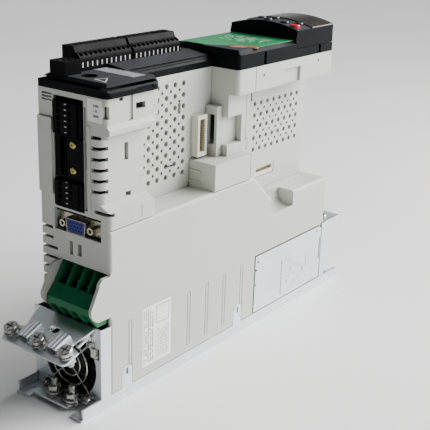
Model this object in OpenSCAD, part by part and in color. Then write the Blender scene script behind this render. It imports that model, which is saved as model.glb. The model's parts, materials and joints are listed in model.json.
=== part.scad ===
// Book-format servo drive, lying on its back.
// +X runs from the fan end to the keypad end, +Z points out of the front of
// the drive, and the option bays open towards -Y.
// Origin: centre of the underside of the base plate.

/* [Chassis] */
// Length of the base plate
base_l = 322; // [320:1:326]
// Width of the drive
drive_w = 62; // [62:1:63]
// Height of the base plate's side flanges
flange_h = 8.5; // [8:0.5:9]
// Thickness of the folded steel sheet
sheet = 1.5; // [1.2:0.1:1.6]
// Spacing of the mounting holes along the drive
mount_dx = 305; // [303:1:307]
// Spacing of the mounting holes across the drive
mount_dy = 51; // [50:0.5:51]
// Diameter of the mounting holes
mount_d = 5.2; // [4.5:0.1:5.5]
// Top of the locating tabs above the base
tab_top = 24.7; // [24:0.1:26]
// Height of the fan bulkhead
bulkhead_top = 59; // [58.5:0.5:59.5]

/* [Housings] */
// Fan-end face of the plastic housings
hx0 = -133; // [-133:1:-133]
// Keypad-end face of the lower housing
hx1 = 130; // [129:1:131]
// Wall thickness of the plastic housings
wall = 2.4; // [2.2:0.1:2.6]
// Top of the lower housing, which is the seam with the upper housing
seam_z = 124; // [124:1:124]
// Floor of the keypad-end option bay
bay_floor = 100; // [99:1:101]
// Depth of the option bays
bay_depth = 24; // [23:0.5:24]
// Top of the upper housing, under the black covers
upper_top = 208; // [208:1:208]
// Keypad-end face of the upper housing
ux1 = 125; // [124:1:126]

/* [Fan] */
// Diameter of the fan opening
fan_d = 47.8; // [46:0.2:48]
// Sideways place of the fan axis
fan_y = -2.6; // [-3:0.1:-2]
// Height of the fan axis
fan_z = 27.4; // [27:0.1:28]
// Side of the square fan frame
fan_side = 50; // [50:0.5:50]
// Number of fan blades
fan_blades = 7; // [5:1:9]

/* [Control front] */
// Top of the terminal-end cover
cover_top = 216; // [215:1:217]
// Top of the keypad-end cover
key_cover_top = 221.5; // [221:0.5:222]
// Poles of each long control plug
poles = 11; // [9:1:11]
// Pitch of the control plug poles
pole_pitch = 4.4; // [4.3:0.1:4.5]
// Travel of a key
key_travel = 1; // [0.8:0.1:1.2]

/* [Hidden] */

hw = drive_w / 2;
far_in = hw - wall;
bay_y = -hw + bay_depth;
step_x = 24;
ramp_x = 50;
bulk_x = hx0 - 9.5;
eps = 0.01;
skin = 0.4;

// plan of the option side
left_end = -91;
left_top_end = -86;
recess_y = -23;
band_y = -28.5;
post_x0 = -25.6;
post_x1 = 18.6;
post_top = 144;
column_x0 = -2;
column_x1 = 24;
column_y = -23;
band_z = 190;

// fan end recesses
plug_y0 = -28.6;
plug_y1 = 13;
plug_z0 = 58.5;
plug_z1 = 94.5;
relay_y0 = -9;
relay_y1 = 17.5;
relay_z0 = 131;
relay_z1 = 204;
dsub_y0 = -23;
dsub_y1 = 19;
dsub_z0 = 114.5;
dsub_z1 = 129.5;

// control terminals along the far edge
term_x0 = -112;
term_y0 = 14;
term_y1 = 30.5;
plug_l = poles * pole_pitch + 0.4;
term_gap = 2;
term_x1 = term_x0 + 2 * plug_l + term_gap;
term_z = 215;
term_h = 16;

// keypad
pad_x0 = 70.7;
pad_x1 = 124;
pad_z = key_cover_top;
lens_x0 = 92.5;

// shield bracket
slope_a = 22;

module box(x0, x1, y0, y1, z0, z1) {
  translate([x0, y0, z0]) cube([x1 - x0, y1 - y0, z1 - z0]);
}

module rod_x(x0, x1, y, z, r) {
  translate([x0, y, z]) rotate([0, 90, 0]) cylinder(h = x1 - x0, r = r, $fn = 64);
}

module rod_y(y0, y1, x, z, r) {
  translate([x, y0, z]) rotate([-90, 0, 0]) cylinder(h = y1 - y0, r = r, $fn = 64);
}

module rod_z(z0, z1, x, y, r) {
  translate([x, y, z0]) cylinder(h = z1 - z0, r = r, $fn = 64);
}

// Rectangle with round corners, made of exact arcs.
module rounded(x0, x1, y0, y1, r) {
  translate([x0 + r, y0]) square([x1 - x0 - 2 * r, y1 - y0]);
  translate([x0, y0 + r]) square([x1 - x0, y1 - y0 - 2 * r]);
  for (x = [x0 + r, x1 - r], y = [y0 + r, y1 - r])
    translate([x, y]) circle(r = r, $fn = 48);
}

// Plate in the XY plane with round corners.
module slab(x0, x1, y0, y1, z0, z1, r) {
  translate([0, 0, z0]) linear_extrude(z1 - z0) rounded(x0, x1, y0, y1, r);
}

// Outline in X and Z, pushed along Y.
module along_y(y0, y1) {
  translate([0, y1, 0]) rotate([90, 0, 0]) linear_extrude(y1 - y0) children();
}

// Outline in Y and Z, pushed along X.
module along_x(x0, x1) {
  translate([x0, 0, 0]) rotate([90, 0, 90]) linear_extrude(x1 - x0) children();
}

// Bar with a round top, seen from the side: for tabs and slots.
module round_bar(x, w, z0, z1, y0, y1) {
  along_y(y0, y1) union() {
    translate([x - w / 2, z0]) square([w, z1 - z0 - w / 2]);
    translate([x, z1 - w / 2]) circle(d = w, $fn = 48);
  }
}

// Obround slot along Z, cut through Y.
module slot_z(x, w, z0, z1, y0, y1) {
  along_y(y0, y1) union() {
    translate([x - w / 2, z0 + w / 2]) square([w, z1 - z0 - w]);
    translate([x, z0 + w / 2]) circle(d = w, $fn = 32);
    translate([x, z1 - w / 2]) circle(d = w, $fn = 32);
  }
}

// Cross recess in a screw head, looking along -Z from the head's top.
module cross_cut(size, depth) {
  for (a = [0, 90]) rotate([0, 0, a])
    translate([-size / 2, -size / 10, -depth]) cube([size, size / 5, depth + 1]);
}

// Screw with its head's underside at z = 0 and its shank down to -length.
module screw(head_r, head_h, shank_r, length) {
  difference() {
    union() {
      cylinder(h = head_h - 0.6, r = head_r, $fn = 48);
      translate([0, 0, head_h - 0.6]) cylinder(h = 0.6, r1 = head_r, r2 = head_r - 0.6, $fn = 48);
      translate([0, 0, -length]) cylinder(h = length + eps, r = shank_r, $fn = 48);
    }
    translate([0, 0, head_h]) cross_cut(head_r * 1.2, head_h * 0.5);
  }
}

// ---------------------------------------------------------------- chassis

prong_near = 10.5;
prong_far = 12.5;
tab_w = 10.2;
tab_xs = [-117.4, 8.2];

module locating_tab(x, grow) {
  round_bar(x, tab_w + 2 * grow, 0, tab_top + grow, -hw, -hw + sheet + grow);
}

module base_plate() {
  color([0.80, 0.84, 0.87]) difference() {
    union() {
      box(-base_l / 2, base_l / 2, -hw, hw, 0, sheet);
      for (side = [0, 1]) mirror([0, side, 0]) {
        box(-base_l / 2 + 1.5, base_l / 2 - 1.5, -hw, -hw + sheet, 0, flange_h);
        for (x = tab_xs) locating_tab(x, 0);
      }
    }
    box(-base_l / 2 - 1, bulk_x - 0.5, -hw + prong_near, hw - prong_far, -1, sheet + 1);
    for (x = [-mount_dx / 2, mount_dx / 2], y = [-mount_dy / 2, mount_dy / 2])
      rod_z(-1, sheet + 1, x, y, mount_d / 2);
    for (side = [0, 1], x = tab_xs) mirror([0, side, 0])
      slot_z(x, 2.2, 17.4, 22.6, -hw - 1, -hw + sheet + 1);
  }
}

shelf_z = 3;
stud_xy = [[-151, 4], [-151, -12.5]];
stud_r = 2.3;
stud_top = 16.6;
fan_screw_pitch = 20;
bracket_screw_y = [-22, 17];
bracket_screw_z = 52.6;
clip_z0 = 38;
clip_z1 = 45;

module fan_bulkhead() {
  color([0.72, 0.76, 0.79]) difference() {
    union() {
      box(bulk_x, bulk_x + sheet, -hw + sheet + 0.2, hw - sheet - 0.2, sheet, bulkhead_top);
      box(bulk_x, bulk_x + sheet, -hw, hw, flange_h, bulkhead_top);
      for (side = [0, 1]) mirror([0, side, 0])
        box(bulk_x, hx0, -hw, -hw + sheet, flange_h, bulkhead_top - 0.5);
      box(-base_l / 2 + 2.5, bulk_x + eps, -15, 17.8, shelf_z, shelf_z + sheet);
    }
    rod_x(bulk_x - 1, bulk_x + sheet + 1, fan_y, fan_z, fan_d / 2);
    for (y = [-1, 1], z = [-1, 1])
      rod_x(bulk_x - 1, bulk_x + sheet + 1, fan_y + y * fan_screw_pitch, fan_z + z * fan_screw_pitch, 1.7);
    for (y = bracket_screw_y) rod_x(bulk_x - 1, bulk_x + sheet + 1, y, bracket_screw_z, 2.1);
    box(bulk_x - 1, bulk_x + sheet + 1, -hw + 1.7, -hw + 8, clip_z0 - 1, clip_z1);
    for (p = stud_xy) rod_z(shelf_z - 1, shelf_z + sheet + 1, p[0], p[1], stud_r + 0.1);
  }
}

end_x = hx1 + 7.5;
vent_pitch = 6;

module end_bracket() {
  color([0.74, 0.78, 0.81]) difference() {
    union() {
      box(end_x - sheet, end_x, -hw + sheet + 0.2, hw - sheet - 0.2, sheet, 58);
      box(end_x - sheet, end_x, -hw, hw, flange_h, 58);
      for (side = [0, 1]) mirror([0, side, 0])
        box(hx1, end_x, -hw, -hw + sheet, flange_h, 58);
    }
    for (y = [-24 : vent_pitch : 24])
      box(end_x - sheet - 1, end_x + 1, y - 2.1, y + 2.1, 8, 46);
    rod_x(end_x - sheet - 1, end_x + 1, -22, 52, 2.1);
  }
}

tongue_z = 57;
tongue_x1 = 160.5;
tongue_screw = [147, -21];

module top_fixing_tab() {
  color([0.66, 0.70, 0.72]) difference() {
    union() {
      slab(end_x, tongue_x1, -30.5, -13, tongue_z, tongue_z + sheet, 2.5);
      box(end_x, end_x + 4, -30.5, -13, tongue_z, tongue_z + sheet);
      box(end_x, end_x + sheet, -30.5, -13, 47, tongue_z + eps);
    }
    rod_z(tongue_z - 1, tongue_z + sheet + 1, tongue_screw[0], tongue_screw[1], 2.2);
    rod_x(end_x - 1, end_x + sheet + 1, -22, 52, 2.1);
  }
}

module chassis_screws() {
  color([0.75, 0.75, 0.73]) {
    translate([tongue_screw[0], tongue_screw[1], tongue_z + sheet]) screw(3.2, 1.6, 1.95, 7);
    translate([end_x + sheet, -22, 52]) rotate([0, 90, 0]) screw(3.6, 2.4, 1.9, 7);
    for (y = bracket_screw_y)
      translate([bulk_x - sheet, y, bracket_screw_z]) rotate([0, -90, 0]) screw(2.8, 1.9, 1.95, 2.9);
  }
}

// ---------------------------------------------------------------- cooling

sink_x0 = -124.5;
sink_x1 = 112;
fin_pitch = 5.1;
fin_t = 1.4;
sink_z0 = 3;
sink_z1 = 50;

module heatsink() {
  color([0.70, 0.71, 0.72]) along_x(sink_x0, sink_x1) union() {
    translate([-27.5, 42]) square([55, sink_z1 - 42]);
    for (i = [0 : 10])
      translate([-26 + i * fin_pitch - fin_t / 2 + 0.5, sink_z0]) square([fin_t, 42 - sink_z0 + eps]);
  }
}

fan_x0 = bulk_x + sheet;
fan_x1 = fan_x0 + 15;
hub_r = 10.5;
shaft_r = 1.5;
shaft_play = 0.05;

module fan_frame() {
  color([0.06, 0.06, 0.065]) difference() {
    union() {
      difference() {
        along_x(fan_x0, fan_x1)
          rounded(fan_y - fan_side / 2, fan_y + fan_side / 2, fan_z - fan_side / 2, fan_z + fan_side / 2, 3);
        rod_x(fan_x0 - 1, fan_x1 + 1, fan_y, fan_z, fan_d / 2);
      }
      rod_x(fan_x1 - 3.6, fan_x1, fan_y, fan_z, hub_r);
      along_x(fan_x1 - 2.6, fan_x1 - 0.2) translate([fan_y, fan_z])
        for (a = [45, 135]) rotate(a) square([2.4, fan_d + 1.6], center = true);
    }
    for (y = [-1, 1], z = [-1, 1])
      rod_x(fan_x0 - 1, fan_x1 + 1, fan_y + y * fan_screw_pitch, fan_z + z * fan_screw_pitch, 1.7);
    rod_x(fan_x1 - 4, fan_x1 - 0.8, fan_y, fan_z, shaft_r + shaft_play);
  }
}

module fan_rotor() {
  color([0.09, 0.09, 0.10]) translate([0, fan_y, fan_z]) union() {
    rod_x(fan_x0 + 1.2, fan_x1 - 4.2, 0, 0, hub_r);
    rod_x(fan_x1 - 4.3, fan_x1 - 1.4, 0, 0, shaft_r);
    for (i = [0 : fan_blades - 1]) rotate([i * 360 / fan_blades, 0, 0])
      translate([fan_x0 + 5.8, 0, hub_r - 1.5]) rotate([0, 0, 42])
        translate([-0.6, -5.2, 0]) cube([1.2, 10.4, fan_d / 2 - hub_r - 0.6]);
  }
}

wire_r = 0.6;
guard_x = bulk_x - wire_r;

module ring_x(x, y, z, r, wire) {
  translate([x, y, z]) rotate([0, 90, 0])
    rotate_extrude($fn = 72) translate([r, 0]) circle(r = wire, $fn = 16);
}

module finger_guard() {
  color([0.62, 0.63, 0.62]) union() {
    for (r = [3.6, 9.7, 16.2]) ring_x(guard_x, fan_y, fan_z, r, wire_r);
    for (a = [45 : 90 : 315]) translate([guard_x, fan_y, fan_z]) rotate([a, 0, 0])
      translate([0, 0, 3.6]) cylinder(h = 28.28 - 3.6 - 2.2, r = wire_r - 0.02, $fn = 16);
    for (y = [-1, 1], z = [-1, 1])
      ring_x(guard_x, fan_y + y * fan_screw_pitch, fan_z + z * fan_screw_pitch, 2.3, wire_r);
  }
}

// Screws of the fan and its guard: the two at the foot also carry a nut under the head.
module fan_screws() {
  color([0.70, 0.69, 0.64]) for (y = [-1, 1])
    translate([guard_x - wire_r, fan_y + y * fan_screw_pitch, fan_z]) {
      translate([0, 0, fan_screw_pitch]) rotate([0, -90, 0]) {
        cylinder(h = 0.9, r = 2.2, $fn = 48);
        translate([0, 0, 0.8]) screw(2.2, 1.4, 1.45, 13.6);
      }
      translate([0, 0, -fan_screw_pitch]) rotate([0, -90, 0]) {
        cylinder(h = 0.9, r = 2.6, $fn = 48);
        translate([0, 0, 0.8]) cylinder(h = 2.5, r = 2.3, $fn = 6);
        translate([0, 0, 3.2]) screw(2.7, 2.2, 1.45, 16);
      }
    }
}

module bulkhead_clip() {
  color([0.86, 0.87, 0.82]) union() {
    box(bulk_x - 1.6, bulk_x + sheet - 0.1, -hw + 4, -hw + 7.8, clip_z0 + 0.4, clip_z1 - 0.4);
    box(bulk_x - 1.1, bulk_x + 0.2, -hw + 2.6, -hw + 4.1, clip_z0 + 0.4, clip_z0 + 2);
  }
}

// ------------------------------------------------- shield and earth parts

clamp_s = 26;
clamp_ys = [-25.4, 0, 25.4];
saddle_ys = [-13, 13];
saddle_s = 21;
saddle_l = 14;
arch_r = 5.2;
arch_t = 1.4;
arch_h = 4.4;

module on_slope() {
  translate([bulk_x, 0, bulkhead_top]) rotate([0, -slope_a, 0]) children();
}

module shield_bracket() {
  color([0.68, 0.73, 0.76]) difference() {
    union() {
      on_slope() slab(-34, -1.2, -30, 30, -sheet, 0, 4);
      on_slope() box(-6, 0, -25, 25, -sheet, 0);
      for (y = bracket_screw_y) box(bulk_x - sheet, bulk_x, y - 4.5, y + 4.5, 50.4, bulkhead_top - 0.6);
      // turned-down rib along the near edge
      on_slope() along_y(-25, -23.6)
        polygon([[-5, -1], [-18, -1], [-15, -3.4], [-6, -3.4]]);
    }
    on_slope() {
      for (side = [-1, 1])
        translate([0, side * 31, -2]) linear_extrude(4)
          polygon([[1, -side * 5], [-8, -side * 6.5], [-15, -side * 9], [-18, -side * 9.5], [-21.5, side * 1],
            [-21.5, side * 4], [1, side * 4]]);
      translate([0, 0, -2]) linear_extrude(4) union() {
        translate([-12, -1.6]) circle(r = 2.7, $fn = 40);
        translate([-12, 1.6]) circle(r = 2.7, $fn = 40);
        translate([-14.7, -1.6]) square([5.4, 3.2]);
      }
      for (y = clamp_ys) translate([-clamp_s, y, -3]) cylinder(h = 6, r = 2.2, $fn = 40);
      for (y = saddle_ys, s = [-1, 1])
        translate([-saddle_s - 5, y + s * 7.7 - 1.3, -3]) cube([8, 2.6, 6]);
    }
    for (y = bracket_screw_y) rod_x(bulk_x - 4, bulk_x + 1, y, bracket_screw_z, 2.1);
    box(bulk_x, bulk_x + 5, -hw, hw, 40, 70);
  }
}

// One cable strap, centred on y, between two clamp screws.
module saddle(y) {
  along = saddle_l / 2;
  difference() {
    translate([-saddle_s - along, y, 0]) rotate([90, 0, 90]) linear_extrude(saddle_l) difference() {
      union() {
        rounded(-arch_r, arch_r, -6, arch_h, 2.2);
        for (a = [-1.6, 1.6]) translate([a - 0.5, arch_h - 0.1]) square([1, 0.6]);
      }
      rounded(-arch_r + arch_t, arch_r - arch_t, -6, arch_h - arch_t, 1.2);
      translate([-20, -20]) square([40, 20]);
    }
    // lugs under the clamp screws
    translate([-saddle_s - along - 1, y - 20, -20]) cube([saddle_l + 2, 40, 20]);
  }
  for (side = [-1, 1]) difference() {
    translate([-clamp_s - 4, min(y + side * arch_r, y + side * 12.7), 0])
      cube([8, 12.7 - arch_r + eps, arch_t]);
    for (s = clamp_ys) translate([-clamp_s, s, -1]) cylinder(h = 5, r = 2.15, $fn = 40);
  }
}

module cable_saddles() {
  color([0.76, 0.79, 0.80]) on_slope() {
    for (y = saddle_ys) saddle(y);
  }
}

module clamp_screws() {
  color([0.80, 0.79, 0.74]) on_slope() for (y = clamp_ys) translate([-clamp_s, y, 0]) union() {
    translate([0, 0, arch_t]) washer(5.6, 0.9, 1.9);
    translate([0, 0, arch_t + 0.9]) screw(4.9, 3.6, 1.95, 11);
    translate([0, 0, -sheet - 4]) cylinder(h = 4, r = 4.2, $fn = 6);
  }
}

module earth_studs() {
  color([0.72, 0.70, 0.64]) for (p = stud_xy) rod_z(shelf_z, stud_top, p[0], p[1], stud_r);
}

module hex_nut(r, h, bore) {
  difference() {
    cylinder(h = h, r = r, $fn = 6);
    translate([0, 0, -1]) cylinder(h = h + 2, r = bore, $fn = 48);
  }
}

module washer(r, h, bore) {
  difference() {
    cylinder(h = h, r = r, $fn = 64);
    translate([0, 0, -1]) cylinder(h = h + 2, r = bore, $fn = 48);
  }
}

module earth_nuts() {
  color([0.80, 0.80, 0.76]) for (p = stud_xy) translate([p[0], p[1], shelf_z + sheet]) union() {
    washer(6.4, 1.1, stud_r + 0.1);
    translate([0, 0, 1.1]) washer(5, 0.9, stud_r + 0.1);
    translate([0, 0, 2]) washer(6, 1, stud_r + 0.1);
    translate([0, 0, 3]) hex_nut(4.6, 3.1, stud_r + 0.1);
    translate([0, 0, 6.1]) washer(4.4, 0.8, stud_r + 0.1);
  }
}

// ---------------------------------------------------------- lower housing

cheek_r = 2.5;

// Side view of the two cheeks that guard the power plug.
module cheek_outline() {
  polygon([[hx0 + 4, 65.4], [hx0 - 11.5, 65.6], [hx0 - 14.6, 67.4], [hx0 - 17.4, 71.6],
    [hx0 - 17.6, 75.6], [hx0 - 14.8, 80.7], [hx0 - 10.8, 88], [hx0 - 9.6, 91.8],
    [hx0 - 7, 93.9], [hx0 + 4, 94]]);
}

module lower_near() {
  polygon([[hx0, flange_h], [hx1, flange_h], [hx1, bay_floor], [ramp_x, bay_floor],
    [step_x, seam_z], [hx0, seam_z]]);
}

module lower_far() {
  polygon([[hx0, flange_h], [hx1, flange_h], [hx1, bay_floor], [step_x, bay_floor],
    [step_x, seam_z], [hx0, seam_z]]);
}

module lower_near_inside() {
  polygon([[hx0 + wall, 0], [hx1 - wall, 0], [hx1 - wall, bay_floor - wall],
    [ramp_x - 1, bay_floor - wall], [step_x - 1, seam_z - wall], [hx0 + wall, seam_z - wall]]);
}

module lower_far_inside() {
  polygon([[hx0 + wall, 0], [hx1 - wall, 0], [hx1 - wall, bay_floor - wall],
    [step_x - wall, bay_floor - wall], [step_x - wall, seam_z - wall], [hx0 + wall, seam_z - wall]]);
}

scoop_x0 = 56;
scoop_x1 = 80;
scoop_y = -hw + 5;
scoop_z = 97;
scoop_r = 10.3;

module scoop(grow) {
  intersection() {
    union() {
      rod_x(scoop_x0, scoop_x1 + grow, scoop_y, scoop_z, scoop_r + grow);
      translate([scoop_x0, scoop_y, scoop_z]) rotate([0, 90, 0]) sphere(r = scoop_r + grow, $fn = 64);
    }
    box(scoop_x0 - 30, scoop_x1 + grow, -hw - 5, bay_y, 60, bay_floor + 1);
  }
}

ramp_l = norm([ramp_x - step_x, seam_z - bay_floor]);
ramp_a = atan2(seam_z - bay_floor, ramp_x - step_x);
edge_r = 2.6;

// Everything outside a round edge along X at the near side, to be cut away.
module edge_cut(x0, x1, z, r) {
  difference() {
    box(x0, x1, -hw - 1, -hw + r, z - r, z + 1);
    rod_x(x0 - 1, x1 + 1, -hw + r, z - r, r + eps);
  }
}

// Engraved line with a round top, open at the foot.
module engraved_arch(x, w, line, z0, z1) {
  difference() {
    round_bar(x, w, z0, z1, -hw - 1, -hw + skin);
    round_bar(x, w - 2 * line, z0 - 1, z1 - line, -hw - 2, -hw + 1);
  }
}

mark_xs = [-114.4, -52.4, -31.4, -10.4, 12];
louvre_t = 2;
louvre_pitch = 7.1;

module lower_openings() {
  // ventilation and cable openings of the two end faces
  box(hx0 - 1, hx0 + wall + 1, -far_in - 0.2, far_in + 0.2, 0, plug_z0);
  box(hx1 - wall - 1, hx1 + 1, -far_in - 0.2, far_in + 0.2, 0, plug_z0 - 1.5);
  // power plug
  box(hx0 - 1, hx0 + wall + 1, plug_y0, plug_y1, plug_z0 - 1, plug_z1);
  // data socket
  box(hx0 - 1, hx0 + wall + 1, dsub_y0, dsub_y1, dsub_z0, seam_z + 1);
  box(hx0 - 1, hx0 + 13, dsub_y0, dsub_y1, seam_z - wall - 1, seam_z + 1);
  // slots above the power plug
  box(hx0 - 1, hx0 + wall + 1, 2.6, 5.4, 99.6, 109);
  box(hx0 - 1, hx0 + wall + 1, -5.4, -2, 100.4, 108.6);
  // louvres on the far corner
  for (i = [0 : 5]) {
    z = 78 + i * louvre_pitch;
    box(hx0 - 1, hx0 + 9, i < 1 || i > 3 ? 20.6 : 16.6, hw + 1, z, z + louvre_t);
  }
}

module lower_housing() {
  color([0.87, 0.87, 0.84]) difference() {
    union() {
      difference() {
        union() {
          along_y(-hw, bay_y) lower_near();
          along_y(bay_y - eps, hw) lower_far();
        }
        difference() {
          union() {
            along_y(-far_in, bay_y - wall) lower_near_inside();
            along_y(-far_in, far_in) lower_far_inside();
          }
          scoop(wall);
        }
      }
      along_y(-hw, -hw + cheek_r) cheek_outline();
      along_y(plug_y1, plug_y1 + cheek_r) cheek_outline();
      for (y = [-12, -5]) box(hx1 - 9, hx1 - 2, y - 0.5, y + 0.5, bay_floor - eps, bay_floor + 0.8);
    }
    scoop(0);
    lower_openings();
    for (side = [0, 1]) mirror([0, side, 0]) for (x = tab_xs) locating_tab(x, 0.4);
    // recess for the metal side plate, with a deeper joint round it
    box(plate_x0, hx1 + 1, -hw - 1, -hw + plate_t, 0, plate_z1);
    box(plate_x0 - 0.3, plate_x0 + 0.9, -hw - 1, -hw + 2, 0, plate_z1);
    box(plate_x0 - 0.3, hx1 - 3, -hw - 1, -hw + 2, plate_z1 - 0.8, plate_z1 + 0.1);
    box(hx1 - 3.4, hx1 + 1, -hw - 1, -hw + 3.4, 57, plate_z1 + 1.4);
    // joint above the base plate's flange
    box(hx0 - 1, hx1 + 1, -hw - 1, -hw + 1.2, 0, flange_h + 0.5);
    // rounded edges of the near side
    edge_cut(hx0 - 1, step_x, seam_z, edge_r);
    edge_cut(ramp_x, hx1 + 1, bay_floor, edge_r);
    translate([step_x, 0, seam_z]) rotate([0, ramp_a, 0]) edge_cut(-0.6, ramp_l, 0, edge_r + 0.3);
    corner_cut(hx0, -hw, 2, 0, plug_z0 + 5);
    corner_cut(hx0, -hw, 2, plug_z1 + 1.5, seam_z + 1);
    // small lifting notch beside the scoop
    along_y(-19, -12) polygon([[64, bay_floor + 1], [64, bay_floor - 1.8], [75, bay_floor + 1]]);
    // shallow lines of the moulding
    for (x = mark_xs) engraved_arch(x, 3.6, 0.7, 14, 57);
    // seat of the rating label
    box(-102.6, -71.8, -hw - 1, -hw + 0.3, 14.8, 59.8);
  }
}

plate_x0 = 29.2;
plate_z1 = 58.5;
plate_t = 1.4;

// Points of a triangle with round corners of radius r, grown from corners given anticlockwise.
function round_triangle(c, r) = [
  for (i = [0 : 2]) let (
    p = c[i], before = p - c[(i + 2) % 3], after = c[(i + 1) % 3] - p,
    a0 = atan2(-before[0], before[1]), turn = (atan2(-after[0], after[1]) - a0 + 720) % 360)
    for (k = [0 : 8]) p + r * [cos(a0 + turn * k / 8), sin(a0 + turn * k / 8)]
];

plate_mark = [[71.5, 40.5], [72, 14.2], [97.5, 25.5]];

module side_cover_plate() {
  color([0.80, 0.84, 0.87]) difference() {
    box(plate_x0 + 0.9, hx1 - 0.7, -hw, -hw + plate_t - 0.2, flange_h + 0.5, plate_z1 - 0.8);
    along_y(-hw - 1, -hw + 0.5) difference() {
      polygon(round_triangle(plate_mark, 4.2));
      polygon(round_triangle(plate_mark, 2.6));
    }
    box(plate_x0, plate_x0 + 4, -hw - 1, -hw + 3, 44.6, 46.2);
    box(plate_x0, plate_x0 + 3.4, -hw - 1, -hw + 3, 32, 33.6);
    slot_z(hx1 - 2.8, 2, 27, 46, -hw - 1, -hw + 3);
    // corner cut off for the latch, and a short line beside the mark
    box(hx1 - 4, hx1 + 1, -hw - 1, -hw + 3, 55.4, 60);
    slot_z(106, 1.2, 26, 37, -hw - 1, -hw + 0.4);
    // dimples inside the mark
    for (k = [0 : 2]) rod_y(-hw - 1, -hw + 0.5, 76.5 + 2.4 * k, 22 + 4.6 * k, 1.5);
    rod_y(-hw - 1, -hw + 3, plate_x0 + 5, 52, 1.2);
    rod_y(-hw - 1, -hw + 3, hx1 - 8, 53.5, 1.2);
  }
}

module stickers() {
  color([0.95, 0.95, 0.93]) {
    along_y(-hw, -hw + 0.3) rounded(-102.4, -72, 15, 59.6, 1);
    along_x(hx0 - 0.25, hx0) rounded(-25, -12.6, 192.2, 206.4, 0.8);
  }
}

// ---------------------------------------------------------- upper housing

// Profile of the fan-end side block in Y and Z.
module side_block(inset) {
  t = inset;
  polygon([[bay_y + 3 * sign(t), seam_z + t], [-hw + t, seam_z + t], [-hw + t, 135.5 - t * 0.4],
    [recess_y + t, 139.5 - t * 0.4], [recess_y + t, 181.5 + t * 0.5], [-hw + t + 0.2, 185.3 + t * 0.5],
    [-hw + t, 188.4 - t * 0.3], [band_y + t, 191 - t * 0.3], [band_y + t, upper_top - t],
    [bay_y + 3 * sign(t), upper_top - t]]);
}

corner_r = 5;

// Everything outside a round vertical corner, to be cut away.
module corner_cut(x, y, r, z0, z1) {
  difference() {
    box(x - 1, x + r, y - 1, y + r, z0, z1);
    rod_z(z0 - 1, z1 + 1, x + r, y + r, r);
  }
}

module upper_outer() {
  box(hx0, ux1, bay_y, hw, seam_z, upper_top);
  box(step_x, ux1, bay_y, hw, bay_floor, seam_z + eps);
  along_x(hx0, left_end) side_block(0);
  box(left_end - eps, left_top_end, band_y, bay_y + eps, 191, upper_top);
  // post between the bays
  box(post_x0, post_x1, -hw, bay_y + eps, seam_z, post_top);
  box(column_x0, column_x1, column_y, bay_y + eps, post_top - eps, band_z + eps);
  box(-8.3, column_x0 + eps, -17.8, bay_y + eps, post_top - eps, 181);
  for (z = [128.6, 136.5]) box(post_x0 - 0.9, post_x0 + eps, -18, bay_y + eps, z - 0.7, z + 0.7);
  // band under the keypad
  box(column_x0, ux1, -hw, bay_y + eps, band_z, upper_top);
  // ridge and light box beside the side plugs
  box(hx0 - 0.8, hx0 + eps, -14.6, -12.4, 131.5, 189);
  box(hx0 - 1.5, hx0 + eps, 18.5, hw, 138.5, 189);
}

notch_x1 = 14.8;
notch_y = -17.9;
notch_z0 = 152.4;
notch_z1 = 173.1;

// Hand notch in the near corner of the column between the bays.
module column_notch(grow) {
  box(column_x0 - eps, notch_x1 + grow, column_y - 5, notch_y + grow, notch_z0 - grow, notch_z1 + grow);
}

module upper_inner() {
  t = wall;
  box(hx0 + t, ux1 - t, bay_y + t, far_in, seam_z + t, upper_top - t);
  box(step_x + t, ux1 - t, bay_y + t, far_in, bay_floor + t, seam_z + t + eps);
  along_x(hx0 + t, left_end - t) side_block(t);
  box(left_end - t - eps, left_top_end - t, band_y + t, bay_y + t + eps, 193.4, upper_top - t);
  box(post_x0 + t, post_x1 - t, -far_in, bay_y + t + eps, seam_z + t, post_top - t);
  difference() {
    box(column_x0 + t, column_x1 - t, column_y + t, bay_y + t + eps, post_top - t - eps, band_z + t + eps);
    column_notch(t);
  }
  box(-8.3 + t, column_x0 + t + eps, -17.8 + t, bay_y + t + eps, post_top - t - eps, 181 - t);
  box(column_x0 + t, ux1 - t, -far_in, bay_y + t + eps, band_z + t, upper_top - t);
}

hole_r = 1.95;
small_r = 1.2;

// Narrow groove in a face that looks towards -Y.
module joint_line(x0, x1, y, z0, z1) {
  box(x0, x1, y - 1, y + 1.1, z0, z1);
}

// Two interleaved grids of round holes in X and Z.
module vent_grid(x0, z0, dx, dz, nx, nz) {
  for (i = [0 : nx - 1], k = [0 : nz - 1])
    translate([x0 + i * dx, z0 + k * dz]) circle(r = hole_r, $fn = 32);
  for (i = [0 : nx - 2], k = [0 : nz - 2])
    translate([x0 + (i + 0.5) * dx, z0 + (k + 0.5) * dz]) circle(r = small_r, $fn = 24);
}

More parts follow.
